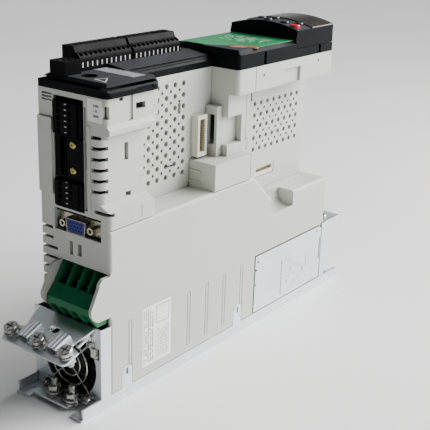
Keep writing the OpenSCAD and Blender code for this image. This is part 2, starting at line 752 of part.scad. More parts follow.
module upper_openings() {
  // perforated walls of both bays
  along_y(bay_y - 1, bay_y + wall + 1) {
    vent_grid(-79.2, 136, 9.15, 8.05, 6, 9);
    vent_grid(54.5, 134.9, 8.5, 9.15, 8, 5);
  }
  box(-39.4, -36.6, bay_y - 1, bay_y + wall + 1, 179.8, 187);
  box(-50, -44.4, bay_y - 1, bay_y + wall + 1, 142.6, 144.2);
  box(48.6, 50.4, bay_y - 1, bay_y + wall + 1, 174.4, 181);
  // bay connectors
  box(-22.6, -14.6, bay_y - 1, bay_y + wall + 1, 148, 174);
  box(58, 85, bay_y - 1, bay_y + wall + 1, 110.4, 119);
  // edge slot and window of the post
  box(-9.3, -8.3 + wall + 1, -15.5, -10.2, 153, 175);
  column_notch(0);
  // stepped joint line between the column and the keypad-end wall
  joint_line(20, 20.6, column_y, 153.4, band_z);
  joint_line(20, 23.2, column_y, 152.8, 153.4);
  joint_line(22.6, 23.2, column_y, 145.2, 153);
  joint_line(20.4, 23.2, column_y, 144.9, 145.5);
  joint_line(post_x1 - 1.4, post_x1 - 0.8, -hw, seam_z, post_top);
  // side plugs
  box(hx0 - 2, hx0 + wall + 1, relay_y0, relay_y1, relay_z0, relay_z1);
  // data socket
  box(hx0 - 2, hx0 + 13, dsub_y0, dsub_y1, seam_z - 1, dsub_z1);
  // louvres on the near corner
  for (i = [0 : 5]) box(hx0 - 2, hx0 + 7.2, recess_y - 1, recess_y + 8, 146 + i * 7, 148.5 + i * 7);
  box(hx0 - 2, hx0 + 4.4, -hw - 1, -17.5, 133.2, 135.6);
  // small openings of the near side
  box(hx0 - 2, hx0 + 2.6, band_y - 1, band_y + 3.4, 195, 203);
  box(-121.6, -118.4, band_y - 1, band_y + 4, 205, 207);
  box(-106.6, -97.8, band_y - 1, band_y + 4, 197.4, 201.6);
  box(-111.2, -107.6, recess_y - 1, recess_y + 4, 164.5, 176);
  box(-110, -105, -25.5, recess_y + 4, 140.2, 143.2);
  box(-113.4, -109.2, band_y - 1, band_y + 1.1, 191.4, upper_top + 1);
  // shallow pocket at the end of the side block
  box(-97, left_end + 1, recess_y - 1, recess_y + 2, 150, 176);
  // sunk strip with a slit beside the side plugs, and a ribbed pocket above the light box
  box(hx0 - 1, hx0 + 1.4, -12.2, -9.2, 133, 200);
  box(hx0 - 1, hx0 + wall + 1, -9.9, -9.3, 160, 177);
  for (i = [0 : 2]) box(hx0 - 1, hx0 + 1.2, 18.6, 27.6, 199.4 + i * 2, 200.6 + i * 2);
  // band under the keypad
  box(55.6, 79, -hw - 1, -hw + wall - 0.4, band_z - 1, 201.4);
  rod_y(-hw - 1, -hw + 4, 29.5, 200.8, 1.1);
  rod_y(-hw - 1, -hw + 4, 104.7, 202.5, 1.1);
  joint_line(19.2, 19.9, -hw, band_z - 1, upper_top + 1);
  // top openings for the terminals and the cover screw
  box(term_x0 - 1, term_x1 + 1, term_y0 - 0.5, 28.2, upper_top - wall - 1, upper_top + 1);
  box(-130.4, -115.6, 8.6, 23.4, upper_top - wall - 1, upper_top + 1);
  rod_z(upper_top - wall - 1, upper_top + 1, cover_screw_xy[0], cover_screw_xy[1], 2.1);
}

module upper_housing() {
  color([0.88, 0.88, 0.85]) difference() {
    upper_outer();
    upper_inner();
    upper_openings();
    corner_cut(hx0, recess_y, corner_r, 139.4, 181.6);
    corner_cut(hx0, band_y, 2.5, 191, upper_top + 1);
    corner_cut(hx0, -hw, 2.5, seam_z - 1, 136);
    corner_cut(column_x0, -hw, 3.5, band_z - 1, upper_top + 1);
    // joint above the lower housing
    box(hx0 - 1, left_end + 1, -hw - 1, -hw + 1.4, seam_z - 1, seam_z + 0.5);
    box(post_x0 - 1, post_x1 + 1, -hw - 1, -hw + 1.4, seam_z - 1, seam_z + 0.5);
    // shallow panel where markings would be
    box(hx0 + 8, hx0 + 30, -hw - 1, -hw + 0.35, 126.5, 134.5);
  }
}

// ------------------------------------------------------- power connection

pin_pitch = 9.4;
plug_w0 = -28.2;
plug_w1 = 12.5;
plug_back = hx0 + 9;
pin_y0 = plug_w0 + 6.2;
well_w = 7.8;
well_depth = 7.6;

module power_plug() {
  color([0.08, 0.42, 0.22]) difference() {
    along_y(plug_w0, plug_w1) polygon([[plug_back, 61], [plug_back, 93.2], [hx0 + 0.6, 93.2],
      [hx0 - 8.4, 80.2], [hx0 - 14.6, 73.6], [hx0 - 14.9, 67.6], [hx0 - 9.6, 60.6], [hx0 - 2, 60.4],
      [hx0 + 2, 61]]);
    for (i = [0 : 3]) {
      y = pin_y0 + i * pin_pitch;
      // screw well behind the sloped face
      translate([hx0 - 3.6, y, 86.6]) rotate([0, -55, 0]) translate([-6.6, -well_w / 2, -well_depth])
        cube([22, well_w, 16]);
      // wire entry in the front face
      translate([hx0 - 12.4, y, 64.2]) rotate([0, -37, 0]) translate([-3, -3, -9]) cube([6, 6, 14]);
      // socket for the header's pin
      box(plug_back - 7.5, plug_back + 1, y - 1.6, y + 1.6, 75, 78.4);
    }
  }
}

module power_plug_screws() {
  color([0.62, 0.62, 0.58]) for (i = [0 : 3])
    translate([hx0 - 3.6, pin_y0 + i * pin_pitch, 86.6]) rotate([0, -55, 0]) translate([-2.4, 0, -well_depth])
      difference() {
        cylinder(h = 2.2, r = 2.7, $fn = 40);
        translate([-4, -0.5, 1.2]) cube([8, 1, 2]);
      }
}

module power_header() {
  color([0.10, 0.36, 0.20]) difference() {
    union() {
      box(plug_back + 0.2, plug_back + 12, plug_w0, plug_w1, 69.8, 92);
      for (i = [0 : 3]) box(plug_back - 6.6, plug_back + 0.3,
        pin_y0 + i * pin_pitch - 1.2, pin_y0 + i * pin_pitch + 1.2, 75.5, 77.9);
    }
    box(plug_back + 3, plug_back + 13, plug_w0 + 2, plug_w1 - 2, 74, 93);
  }
}

// ----------------------------------------------------------- data socket

dsub_y = -1;
dsub_z = 120;
jack_dy = 25;

module dsub_outline(grow) {
  polygon([[dsub_y - 8.4 - grow, dsub_z + 4.2 + grow], [dsub_y + 8.4 + grow, dsub_z + 4.2 + grow],
    [dsub_y + 7.0 + grow, dsub_z - 4.2 - grow], [dsub_y - 7.0 - grow, dsub_z - 4.2 - grow]]);
}

module dsub_shell() {
  color([0.74, 0.73, 0.68]) difference() {
    union() {
      along_x(hx0 + 4.6, hx0 + 5.8) rounded(dsub_y - 19.5, dsub_y + 19.5, 114.7, 126, 1.5);
      along_x(hx0 - 0.8, hx0 + 5.2) dsub_outline(0.7);
    }
    along_x(hx0 - 2, hx0 + 7) dsub_outline(0.2);
    for (s = [-1, 1]) rod_x(hx0 + 3, hx0 + 7, dsub_y + s * jack_dy / 2, dsub_z, 1.6);
  }
}

module dsub_insert() {
  color([0.10, 0.14, 0.50]) difference() {
    union() {
      along_x(hx0 - 0.3, hx0 + 7) dsub_outline(0.15);
      along_x(hx0 + 6.0, hx0 + 12) rounded(dsub_y - 10.5, dsub_y + 10.5, 114.9, 125.4, 0.8);
    }
    for (row = [-1 : 1], i = [-2 : 2])
      rod_x(hx0 - 1, hx0 + 4, dsub_y + i * 2.6 + (row == 0 ? 1.1 : 0), dsub_z + row * 2.3, 0.55);
  }
}

module dsub_jackscrews() {
  color([0.72, 0.70, 0.62]) for (s = [-1, 1]) translate([hx0 + 4.6, dsub_y + s * jack_dy / 2, dsub_z])
    rotate([0, -90, 0]) difference() {
      union() {
        cylinder(h = 5, r = 2.8, $fn = 6);
        translate([0, 0, -5]) cylinder(h = 5.1, r = 1.5, $fn = 32);
      }
      translate([0, 0, 0.4]) cylinder(h = 6, r = 1.25, $fn = 32);
    }
}

// ------------------------------------------------------------ side plugs

relay_x = hx0 - 1.8;

module relay_header() {
  color([0.05, 0.05, 0.055]) difference() {
    union() {
      box(hx0 + 8, hx0 + 10.5, relay_y0 + 0.5, relay_y1 - 0.5, relay_z0 + 0.5, 201.2);
      box(hx0 + 0.4, hx0 + 8.1, relay_y0 + 0.5, relay_y1 - 0.5, 151, 178.6);
    }
    box(hx0 - 1, hx0 + 4, 8.2, 12.5, 153, 178);
    box(hx0 - 1, hx0 + 2.5, 6.4, 7.6, 153, 178);
    for (z = [157.4, 174.2]) rod_x(hx0 - 1, hx0 + 5, 0.6, z, 1.6);
  }
}

module brass_screws() {
  color([0.72, 0.52, 0.26]) for (z = [157.4, 174.2])
    translate([hx0 + 0.4, 0.6, z]) rotate([0, -90, 0]) screw(2.5, 1.2, 1.5, 4);
}

relay_pitch = 4.2;

module relay_plug(z0, count) {
  h = count * relay_pitch + 0.8;
  difference() {
    union() {
      box(hx0 + 0.4, hx0 + 7.8, -8.2, 16.8, z0, z0 + h);
      box(relay_x, hx0 + 0.5, -4.6, 16.4, z0 + 0.4, z0 + h - 0.4);
      box(relay_x + 1, hx0 + 0.5, -8.2, -4.5, z0 + 0.4, z0 + h - 0.4);
    }
    for (i = [0 : count - 1]) {
      z = z0 + 0.4 + relay_pitch * (i + 0.5);
      rod_x(relay_x - 1, relay_x + 5, 1.4, z, 1.35);
      box(relay_x - 1, relay_x + 5, 9.8, 12.8, z - 1.5, z + 1.5);
    }
  }
}

module relay_plug_upper() {
  color([0.045, 0.045, 0.05]) relay_plug(179.4, 5);
}

module relay_plug_lower() {
  color([0.045, 0.045, 0.05]) relay_plug(132.2, 4);
}

// ---------------------------------------------------------------- covers

cover_x0 = -135;
cover_x1 = column_x0 - 0.2;
cover_near_x1 = -86.5;
cover_screw_xy = [-118, 0];

// Block whose near, far and fan-end top edges are bevelled, in wide by deep.
module chamfered(x0, x1, y0, y1, z0, z1, wide, deep) {
  intersection() {
    along_x(x0, x1)
      polygon([[y0, z0], [y1, z0], [y1, z1 - deep], [y1 - wide, z1], [y0 + wide, z1], [y0, z1 - deep]]);
    along_y(y0, y1) polygon([[x0, z0], [x1, z0], [x1, z1], [x0 + wide, z1], [x0, z1 - deep]]);
  }
}

module terminal_cover() {
  t = 1.8;
  color([0.10, 0.10, 0.11]) difference() {
    union() {
      chamfered(cover_x0, cover_near_x1, -hw, hw, upper_top, cover_top, 6, 4.6);
      chamfered(cover_near_x1 - 8, cover_x1, bay_y, hw, upper_top, cover_top, 4.5, 3.5);
      // gentle rise beside the terminals
      along_x(-88, cover_x1) polygon([[-4, cover_top - eps], [12.9, cover_top + 2], [27, cover_top + 2],
        [27, cover_top - eps]]);
    }
    difference() {
      union() {
        box(cover_x0 + t, cover_near_x1 - t, -hw + t, hw - t, upper_top - 1, cover_top - t);
        box(cover_near_x1 - 9, cover_x1 - t, bay_y + t, hw - t, upper_top - 1, cover_top - t);
      }
      rod_z(upper_top - 2, cover_top, cover_screw_xy[0], cover_screw_xy[1], 7.2);
    }
    box(term_x0 - 0.7, term_x1 + 0.7, term_y0 - 1, hw + 1, upper_top - 2, cover_top + 8);
    box(-130.4, -115.6, 8.6, 23.4, upper_top - 2, cover_top + 2);
    rod_z(cover_top - 5, cover_top + 1, cover_screw_xy[0], cover_screw_xy[1], 5.4);
    rod_z(upper_top - 2, cover_top + 1, cover_screw_xy[0], cover_screw_xy[1], 2.1);
    corner_cut(cover_x0, -hw, 4, upper_top - 1, cover_top + 1);
    mirror([0, 1, 0]) corner_cut(cover_x0, -hw, 4, upper_top - 1, cover_top + 1);
    mirror([1, 0, 0]) corner_cut(-cover_near_x1, -hw, 3.5, upper_top - 1, cover_top + 1);
    box(-102, -90, -22, 13, cover_top - 0.4, cover_top + 1);
    // finger grooves of the near edge
    box(cover_near_x1 - 22, cover_near_x1 - 6, -hw - 1, -hw + 0.6, upper_top + 1.5, upper_top + 4);
  }
}

module cover_screw() {
  color([0.55, 0.55, 0.53]) translate([cover_screw_xy[0], cover_screw_xy[1], cover_top - 5])
    screw(3.8, 2.2, 1.95, 8.6);
}

module strip_label() {
  color([0.70, 0.71, 0.74]) box(-101.8, -90.2, -21.8, 12.8, cover_top - 0.4, cover_top);
}

slot_xs = [28.5, 104];

module keypad_cover() {
  t = 2;
  color([0.11, 0.11, 0.12]) difference() {
    union() {
      chamfered(column_x0, pad_x0 + 10, -hw, hw, upper_top, key_cover_top, 3.4, 3);
      box(pad_x0 + 0.4, pad_x1, -hw + 2.2, hw - 2.2, upper_top, key_cover_top);
      box(column_x0 + 4, pad_x1 + 0.5, -hw, hw, upper_top, key_cover_top - 7);
    }
    box(column_x0 + t, pad_x1 - t, -hw + t + 2.2, hw - t - 2.2, upper_top - 1, key_cover_top - t);
    // shoulders that the keypad's sides wrap over
    for (side = [0, 1]) mirror([0, side, 0]) along_y(-hw - 1, -hw + 2.2)
      polygon([[pad_x0 + 2, key_cover_top - 7], [pad_x1 + 1, key_cover_top - 7],
        [pad_x1 + 1, key_cover_top + 1], [pad_x0 - 0.5, key_cover_top + 1],
        [pad_x0 - 0.5, key_cover_top + 0.3]]);
    corner_cut(column_x0, -hw, 2.5, upper_top - 1, key_cover_top + 1);
    // catches in both sides
    for (side = [0, 1], x = slot_xs) mirror([0, side, 0])
      box(x, x + 3.2, -hw - 1, -hw + 1.6, upper_top - 1, key_cover_top - (x < pad_x0 ? 3.6 : 6.5));
    // memory card slot
    box(0.4, 4.4, 5, 23, key_cover_top - 4, key_cover_top + 1);
    // keypad socket
    box(104, 116, -8, 8, key_cover_top - 3, key_cover_top + 1);
    // seats of the label and badge
    translate([0, 0, key_cover_top - 0.4]) linear_extrude(1) label_outline(0);
    translate([0, 0, key_cover_top - 0.4]) linear_extrude(1) badge_outline(0);
  }
}

label_x1 = 70;

// Front label: straight sides, a round corner and a slanted end.
module label_outline(grow) {
  difference() {
    union() {
      polygon([[24 - grow, -28.4 - grow], [label_x1 + grow, -28.4 - grow], [label_x1 + grow, 28.4 + grow],
        [12 - grow, 28.4 + grow], [1.5 - grow, 10]]);
      translate([12, 17.9]) circle(r = 10.5 + grow, $fn = 64);
    }
    translate([18, -20]) rotate(-59) badge_shape(1.2 - 2 * grow);
    translate([-20, 4]) square([25.2, 20]);
  }
}

module badge_shape(grow) {
  translate([-6, 0]) circle(r = 5 + grow, $fn = 48);
  translate([6, 0]) circle(r = 5 + grow, $fn = 48);
  translate([-6, -5 - grow]) square([12, 10 + 2 * grow]);
}

module badge_outline(grow) {
  translate([18, -20]) rotate(-59) badge_shape(grow);
}

module front_label() {
  color([0.10, 0.45, 0.25]) translate([0, 0, key_cover_top - 0.4]) linear_extrude(0.4) label_outline(0);
}

module badge_inlay() {
  color([0.62, 0.44, 0.26]) translate([0, 0, key_cover_top - 0.4]) linear_extrude(0.4) badge_outline(0);
}

// ------------------------------------------------------ control terminals

board_z = 200;

module control_headers() {
  color([0.06, 0.06, 0.065]) for (i = [0, 1]) {
    x = term_x0 + i * (plug_l + term_gap);
    difference() {
      box(x, x + plug_l, term_y0, 27.8, board_z + 1.8, term_z - 0.2);
      box(x + 1.4, x + plug_l - 1.4, term_y0 + 3, 26, board_z + 6, term_z + 1);
    }
  }
}

// Plug body with its screw heads towards the near side and entries on top.
module control_plug(x) {
  difference() {
    union() {
      along_x(x + 0.1, x + plug_l - 0.1) polygon([[term_y0 + 0.1, term_z], [term_y1, term_z],
        [term_y1, term_z + term_h], [term_y0 + 6.4, term_z + term_h], [term_y0 + 4.8, term_z + term_h - 3.6],
        [term_y0 + 1.6, term_z + term_h - 5.2], [term_y0 + 0.1, term_z + term_h - 8.4]]);
      box(x + 2, x + plug_l - 2, term_y0 + 3.6, 25.4, board_z + 7, term_z + eps);
    }
    for (i = [0 : poles - 1]) {
      px = x + 0.2 + pole_pitch * (i + 0.5);
      box(px - 1.5, px + 1.5, term_y0 + 9, term_y0 + 13.2, term_z + term_h - 6, term_z + term_h + 1);
      translate([px, term_y0 + 2.8, term_z + term_h - 5.4]) rotate([52, 0, 0])
        translate([0, 0, -3]) cylinder(h = 8, r = 1.45, $fn = 24);
    }
  }
}

module control_screw_row(x) {
  for (i = [0 : poles - 1])
    translate([x + 0.2 + pole_pitch * (i + 0.5), term_y0 + 2.8, term_z + term_h - 5.4]) rotate([52, 0, 0])
      translate([0, 0, -3]) difference() {
        cylinder(h = 2, r = 1.35, $fn = 24);
        translate([-2, -0.25, 1.3]) cube([4, 0.5, 1]);
      }
}

plug_b_x = term_x0 + plug_l + term_gap;

module control_plug_a() {
  color([0.05, 0.05, 0.055]) control_plug(term_x0);
}

module control_plug_b() {
  color([0.05, 0.05, 0.055]) control_plug(plug_b_x);
}

module control_screws_a() {
  color([0.66, 0.66, 0.62]) control_screw_row(term_x0);
}

module control_screws_b() {
  color([0.66, 0.66, 0.62]) control_screw_row(plug_b_x);
}

small_x0 = -130;
small_x1 = -116;
small_y0 = 9;
small_y1 = 23;

module small_header() {
  color([0.06, 0.06, 0.065]) difference() {
    box(small_x0, small_x1, small_y0, small_y1, board_z + 1.8, 213.8);
    box(small_x0 + 1.5, small_x1 - 1.5, small_y0 + 1.5, small_y1 - 1.5, board_z + 5, 215);
  }
}

module small_plug() {
  color([0.05, 0.05, 0.055]) difference() {
    union() {
      box(small_x0 + 0.1, small_x1 - 0.1, small_y0 + 0.1, small_y1 - 0.1, 214, 224.6);
      box(small_x0 + 2, small_x1 - 2, small_y0 + 2, small_y1 - 2, board_z + 6, 214 + eps);
    }
    for (i = [0 : 2]) {
      x = small_x0 + 2.6 + i * 4.4;
      box(x - 1.4, x + 1.4, 16.6, 20.6, 218, 226);
      rod_z(221.5, 226, x, 12.4, 1.5);
    }
  }
}

// ------------------------------------------------------------- option bays

module bay_connector() {
  color([0.86, 0.86, 0.82]) difference() {
    union() {
      box(-23.8, -13.4, bay_y - 6, bay_y, 146, 176);
      box(-22.4, -14.8, bay_y - 0.5, bay_y + 7, 148.2, 173.8);
    }
    box(-21.6, -15.4, bay_y - 7, bay_y + 2, 149, 173);
  }
}

module bay_connector_top() {
  color([0.80, 0.76, 0.42]) difference() {
    union() {
      box(58.4, 84.6, bay_y + 0.4, bay_y + 7, 110.8, 118.6);
    }
    box(60, 83, bay_y - 1, bay_y + 4, 114.2, 117.6);
  }
}

// ---------------------------------------------------------------- inside

board_y = bay_y + 7;

module control_board() {
  color([0.07, 0.30, 0.16]) union() {
    box(-118, 118, board_y, board_y + 1.6, 128, 199);
    box(52, 92, board_y, board_y + 1.6, 105, 128 + eps);
    box(-118, -10, board_y + 1.6 - eps, 28, board_z, board_z + 1.6);
    box(-118, -10, board_y, board_y + 1.6, 199 - eps, board_z + 1.6);
    box(-60, -42, board_y + 1.5, board_y + 3.6, 150, 168);
    box(-20, -6, board_y + 1.5, board_y + 3.4, 158, 172);
    for (i = [0 : 4]) box(10 + i * 18, 20 + i * 18, board_y + 1.5, board_y + 3, 140, 147);
  }
}

module power_board() {
  color([0.07, 0.28, 0.14]) difference() {
    union() {
      box(-121, 110, -27, 27, 68, 69.6);
      for (x = [-108, -10, 95], y = [-23, 23]) rod_z(sink_z1, 68.1, x, y, 3);
      box(70, 92, -14, 2, 69.5, 84);
      box(40, 58, 8, 22, 69.5, 88);
    }
    for (x = [-108, -10, 95], y = [-23, 23]) rod_z(60, 71, x, y, 1.6);
  }
}

module dc_capacitors() {
  color([0.10, 0.12, 0.20]) for (x = [-66, -40, -14], y = [-13, 13]) difference() {
    rod_z(69.6, 114, x, y, 11.5);
    rod_z(113.4, 115, x, y, 9.5);
    translate([x, y, 113]) cross_cut(16, 0.6);
  }
}

module power_module() {
  color([0.08, 0.08, 0.09]) union() {
    box(-80, -22, -19, 19, sink_z1, 63);
    for (i = [0 : 8], y = [-16, 16]) box(-76 + i * 6, -74.6 + i * 6, y - 0.6, y + 0.6, 63 - eps, 68);
  }
}

module input_choke() {
  color([0.66, 0.36, 0.16]) translate([14, -8, 83.4]) rotate([90, 0, 0])
    rotate_extrude($fn = 64) translate([9, 0]) circle(r = 4.4, $fn = 32);
}

// ---------------------------------------------------------------- keypad

crown_r = 105;
crown_top = pad_z + 12.5;
front_drop = 0.9;

// Side view of the crowned top across the drive.
module crown(y0, y1, z0, drop) {
  intersection() {
    translate([y0, z0]) square([y1 - y0, 40]);
    translate([0, crown_top - drop - crown_r]) circle(r = crown_r, $fn = 400);
  }
}

// centres of the keys on the sloping front
mode_xy = [88.2, 13.5];
up_xy = [88.2, 0.8];
down_xy = [78.5, 1.2];
enter_xy = [79.5, -13.6];
run_xy = [88.3, -21];
stop_xy = [78, -24.4];
key_r = 3.4;
stop_r = 3.8;
key_play = 0.35;
flange_grow = 0.8;

module key_hole(p, r) {
  rod_z(key_cover_top, crown_top + 2, p[0], p[1], r + key_play);
}

module keypad_body() {
  t = 2;
  color([0.09, 0.09, 0.10]) difference() {
    intersection() {
      union() {
        along_x(pad_x0 - 1, lens_x0 + eps) crown(-hw, hw, key_cover_top - 6.4, front_drop);
        along_x(lens_x0, pad_x1) crown(-hw, hw, key_cover_top - 6.4, 0);
      }
      along_y(-hw - 1, hw + 1) polygon([[pad_x0 + 2.5, key_cover_top - 7], [pad_x1, key_cover_top - 7],
        [pad_x1, crown_top + 1], [pad_x0 + 2.4, crown_top + 1], [pad_x0 + 1.2, key_cover_top + 7],
        [pad_x0 - 0.3, key_cover_top + 0.4]]);
    }
    box(pad_x0 - 5, pad_x1 + 5, -hw + 2, hw - 2, key_cover_top - 8, key_cover_top + 0.2);
    box(pad_x0 + t, pad_x1 - t, -hw + 1.6, hw - 1.6, key_cover_top, key_cover_top + 5.4);
    box(lens_x0 - eps, pad_x1 + 1, -hw - 1, hw + 1, key_cover_top + 7, crown_top + 2);
    box(lens_x0 + 3, pad_x1 - 5, -22, 22, key_cover_top + 5, crown_top);
    for (p = [mode_xy, up_xy, down_xy, enter_xy, run_xy]) key_hole(p, key_r);
    key_hole(stop_xy, stop_r);
  }
}

module keypad_lens() {
  color([0.30, 0.26, 0.24]) intersection() {
    along_x(lens_x0, pad_x1) crown(-hw, hw, key_cover_top + 7, 0);
    along_y(-hw - 1, hw + 1) polygon([[lens_x0, 200], [pad_x1, 200], [pad_x1, crown_top - 0.6],
      [pad_x1 - 0.8, crown_top + 1], [lens_x0, crown_top + 1]]);
  }
}

module keypad_board() {
  color([0.10, 0.30, 0.20]) union() {
    box(pad_x0 + 3, pad_x1 - 3, -hw + 4, hw - 4, key_cover_top + 0.4, key_cover_top + 1.6);
    box(lens_x0 + 4, pad_x1 - 6, -20, 20, key_cover_top + 1.5, key_cover_top + 4.6);
    box(104.6, 115.4, -7.4, 7.4, key_cover_top - 2.6, key_cover_top + 0.5);
  }
}

function crown_z(y) = crown_top - front_drop - crown_r + sqrt(crown_r * crown_r - y * y);

// Key cap with a foot that keeps it in its hole and a dished top.
module key_cap(p, r, rise) {
  foot = key_cover_top + key_travel + 2;
  top = crown_z(p[1]) + rise;
  translate([p[0], p[1], 0]) difference() {
    union() {
      translate([0, 0, foot]) cylinder(h = 1.2, r = r + flange_grow, $fn = 48);
      translate([0, 0, foot]) cylinder(h = top - foot - 1, r = r, $fn = 48);
      translate([0, 0, top - 1.01]) cylinder(h = 1.01, r1 = r, r2 = r - 0.8, $fn = 48);
    }
    translate([0, 0, top + 13.4]) sphere(r = 14, $fn = 64);
  }
}

module key_mode() {
  color([0.13, 0.13, 0.14]) key_cap(mode_xy, key_r, 1.5);
}

module key_up() {
  color([0.13, 0.13, 0.14]) key_cap(up_xy, key_r, 1.5);
}

module key_down() {
  color([0.13, 0.13, 0.14]) key_cap(down_xy, key_r, 1.5);
}

module key_enter() {
  color([0.13, 0.13, 0.14]) key_cap(enter_xy, key_r, 1.5);
}

module key_run() {
  color([0.13, 0.13, 0.14]) key_cap(run_xy, key_r, 1.5);
}

module key_stop() {
  color([0.75, 0.06, 0.10]) key_cap(stop_xy, stop_r, 1.9);
}

base_plate();
fan_bulkhead();
end_bracket();
top_fixing_tab();
chassis_screws();
heatsink();
fan_frame();
fan_rotor();
finger_guard();
fan_screws();
bulkhead_clip();
shield_bracket();
cable_saddles();
clamp_screws();
earth_studs();
earth_nuts();
lower_housing();
side_cover_plate();
upper_housing();
power_header();
power_plug();
power_plug_screws();
dsub_shell();
dsub_insert();
dsub_jackscrews();
relay_header();
relay_plug_upper();
relay_plug_lower();
brass_screws();
terminal_cover();
cover_screw();
keypad_cover();
front_label();
badge_inlay();
strip_label();
stickers();
control_headers();
control_plug_a();
control_plug_b();
control_screws_a();
control_screws_b();
small_header();
small_plug();
bay_connector();
bay_connector_top();
control_board();
power_board();
dc_capacitors();
power_module();
input_choke();
keypad_body();
keypad_lens();
keypad_board();
key_mode();
key_up();
key_down();
key_enter();
key_run();
key_stop();
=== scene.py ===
"""Book-format servo drive lying on its back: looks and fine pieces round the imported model."""
import json
import math

import bmesh
import bpy
from mathutils import Matrix, Vector


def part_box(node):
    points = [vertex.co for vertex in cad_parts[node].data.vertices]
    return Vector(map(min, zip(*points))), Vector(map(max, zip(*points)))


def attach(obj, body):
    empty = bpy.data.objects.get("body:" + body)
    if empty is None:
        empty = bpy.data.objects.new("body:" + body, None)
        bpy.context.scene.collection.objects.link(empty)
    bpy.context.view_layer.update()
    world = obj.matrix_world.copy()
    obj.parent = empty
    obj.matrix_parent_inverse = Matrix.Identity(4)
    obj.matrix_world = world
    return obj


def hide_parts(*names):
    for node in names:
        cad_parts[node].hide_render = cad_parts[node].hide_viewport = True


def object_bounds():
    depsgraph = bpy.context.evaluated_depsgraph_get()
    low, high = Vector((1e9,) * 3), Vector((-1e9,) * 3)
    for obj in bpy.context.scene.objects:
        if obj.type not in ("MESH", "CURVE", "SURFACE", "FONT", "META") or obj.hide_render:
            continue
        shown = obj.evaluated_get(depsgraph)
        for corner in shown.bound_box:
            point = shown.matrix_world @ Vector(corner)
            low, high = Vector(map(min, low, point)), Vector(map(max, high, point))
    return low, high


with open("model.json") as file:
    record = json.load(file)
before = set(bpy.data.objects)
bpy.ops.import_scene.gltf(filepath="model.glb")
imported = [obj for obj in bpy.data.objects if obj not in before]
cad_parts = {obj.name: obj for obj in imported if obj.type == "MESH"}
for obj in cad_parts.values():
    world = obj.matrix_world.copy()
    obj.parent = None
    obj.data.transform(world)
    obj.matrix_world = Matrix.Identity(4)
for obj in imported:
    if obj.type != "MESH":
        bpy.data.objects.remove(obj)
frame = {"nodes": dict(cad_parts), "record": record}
cad_lo, cad_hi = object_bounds()
nodes = frame["nodes"]
MM = 0.001


# ------------------------------------------------------------------ camera, floor and light

EYE = Vector((-526.2, -406.2, 329.8)) * MM
YAW = math.radians(36.8)
PITCH = math.radians(-19.59)
ROLL = math.radians(1.89)
LENS = 77.53
SENSOR = 36.0

# height of the look direction over which the room fades, and its brightness below and above
HORIZON_LOW = 0.06
HORIZON_HIGH = 0.30
HORIZON_GLOW = 0.40
CEILING_GLOW = 0.03
FLOOR_HALF_SIZE = 12.0


def make_camera():
    """Looks from the fan end and the option side, a little from above."""
    forward = Vector((math.cos(YAW) * math.cos(PITCH), math.sin(YAW) * math.cos(PITCH), math.sin(PITCH)))
    level = Vector((math.sin(YAW), -math.cos(YAW), 0.0))
    upward = level.cross(forward)
    right = math.cos(ROLL) * level + math.sin(ROLL) * upward
    up = math.cos(ROLL) * upward - math.sin(ROLL) * level
    data = bpy.data.cameras.new("camera")
    data.lens = LENS
    data.sensor_width = SENSOR
    data.clip_start = 0.01
    data.clip_end = 60.0
    camera = bpy.data.objects.new("camera", data)
    bpy.context.scene.collection.objects.link(camera)
    matrix = Matrix((right, up, -forward)).transposed().to_4x4()
    matrix.translation = EYE
    camera.matrix_world = matrix
    bpy.context.scene.camera = camera


def add_light(name, kind, direction, distance, energy, size, tint=(1.0, 1.0, 1.0)):
    """A light that looks at the middle of the object from a direction."""
    middle = (cad_lo + cad_hi) / 2
    data = bpy.data.lights.new(name, kind)
    data.energy = energy
    data.color = tint
    if kind == "AREA":
        data.size = size
    else:
        data.angle = size
    light = bpy.data.objects.new(name, data)
    bpy.context.scene.collection.objects.link(light)
    light.location = middle + Vector(direction).normalized() * distance
    light.rotation_mode = "QUATERNION"
    light.rotation_quaternion = (middle - light.location).to_track_quat("-Z", "Y")


def make_light():
    """A broad low window light, a soft key and fill, and a room that is pale at the horizon."""
    add_light("window", "SUN", (1.0, -0.30, 0.50), 2.0, 6.0, math.radians(50), (1.0, 0.998, 0.99))
    add_light("key", "AREA", (0.70, -0.72, 0.66), 1.3, 25.0, 1.0, (1.0, 1.0, 0.99))
    add_light("front", "AREA", (0.30, -1.0, 0.70), 1.3, 8.0, 1.0, (0.99, 1.0, 0.995))
    add_light("back", "SUN", (0.50, 0.80, 0.80), 2.0, 0.3, math.radians(60), (0.97, 0.99, 1.0))
    world = bpy.data.worlds.new("room")
    bpy.context.scene.world = world
    world.use_nodes = True
    tree = world.node_tree
    background = tree.nodes["Background"]
    background.inputs["Color"].default_value = (0.95, 0.98, 1.0, 1.0)
    heading = tree.nodes.new("ShaderNodeTexCoord")
    split = tree.nodes.new("ShaderNodeSeparateXYZ")
    level = tree.nodes.new("ShaderNodeMapRange")
    level.interpolation_type = "SMOOTHSTEP"
    level.inputs["From Min"].default_value = HORIZON_LOW
    level.inputs["From Max"].default_value = HORIZON_HIGH
    level.inputs["To Min"].default_value = HORIZON_GLOW
    level.inputs["To Max"].default_value = CEILING_GLOW
    tree.links.new(heading.outputs["Generated"], split.inputs[0])
    tree.links.new(split.outputs["Z"], level.inputs["Value"])
    tree.links.new(level.outputs["Result"], background.inputs["Strength"])


# ------------------------------------------------------------------ node-tree helper


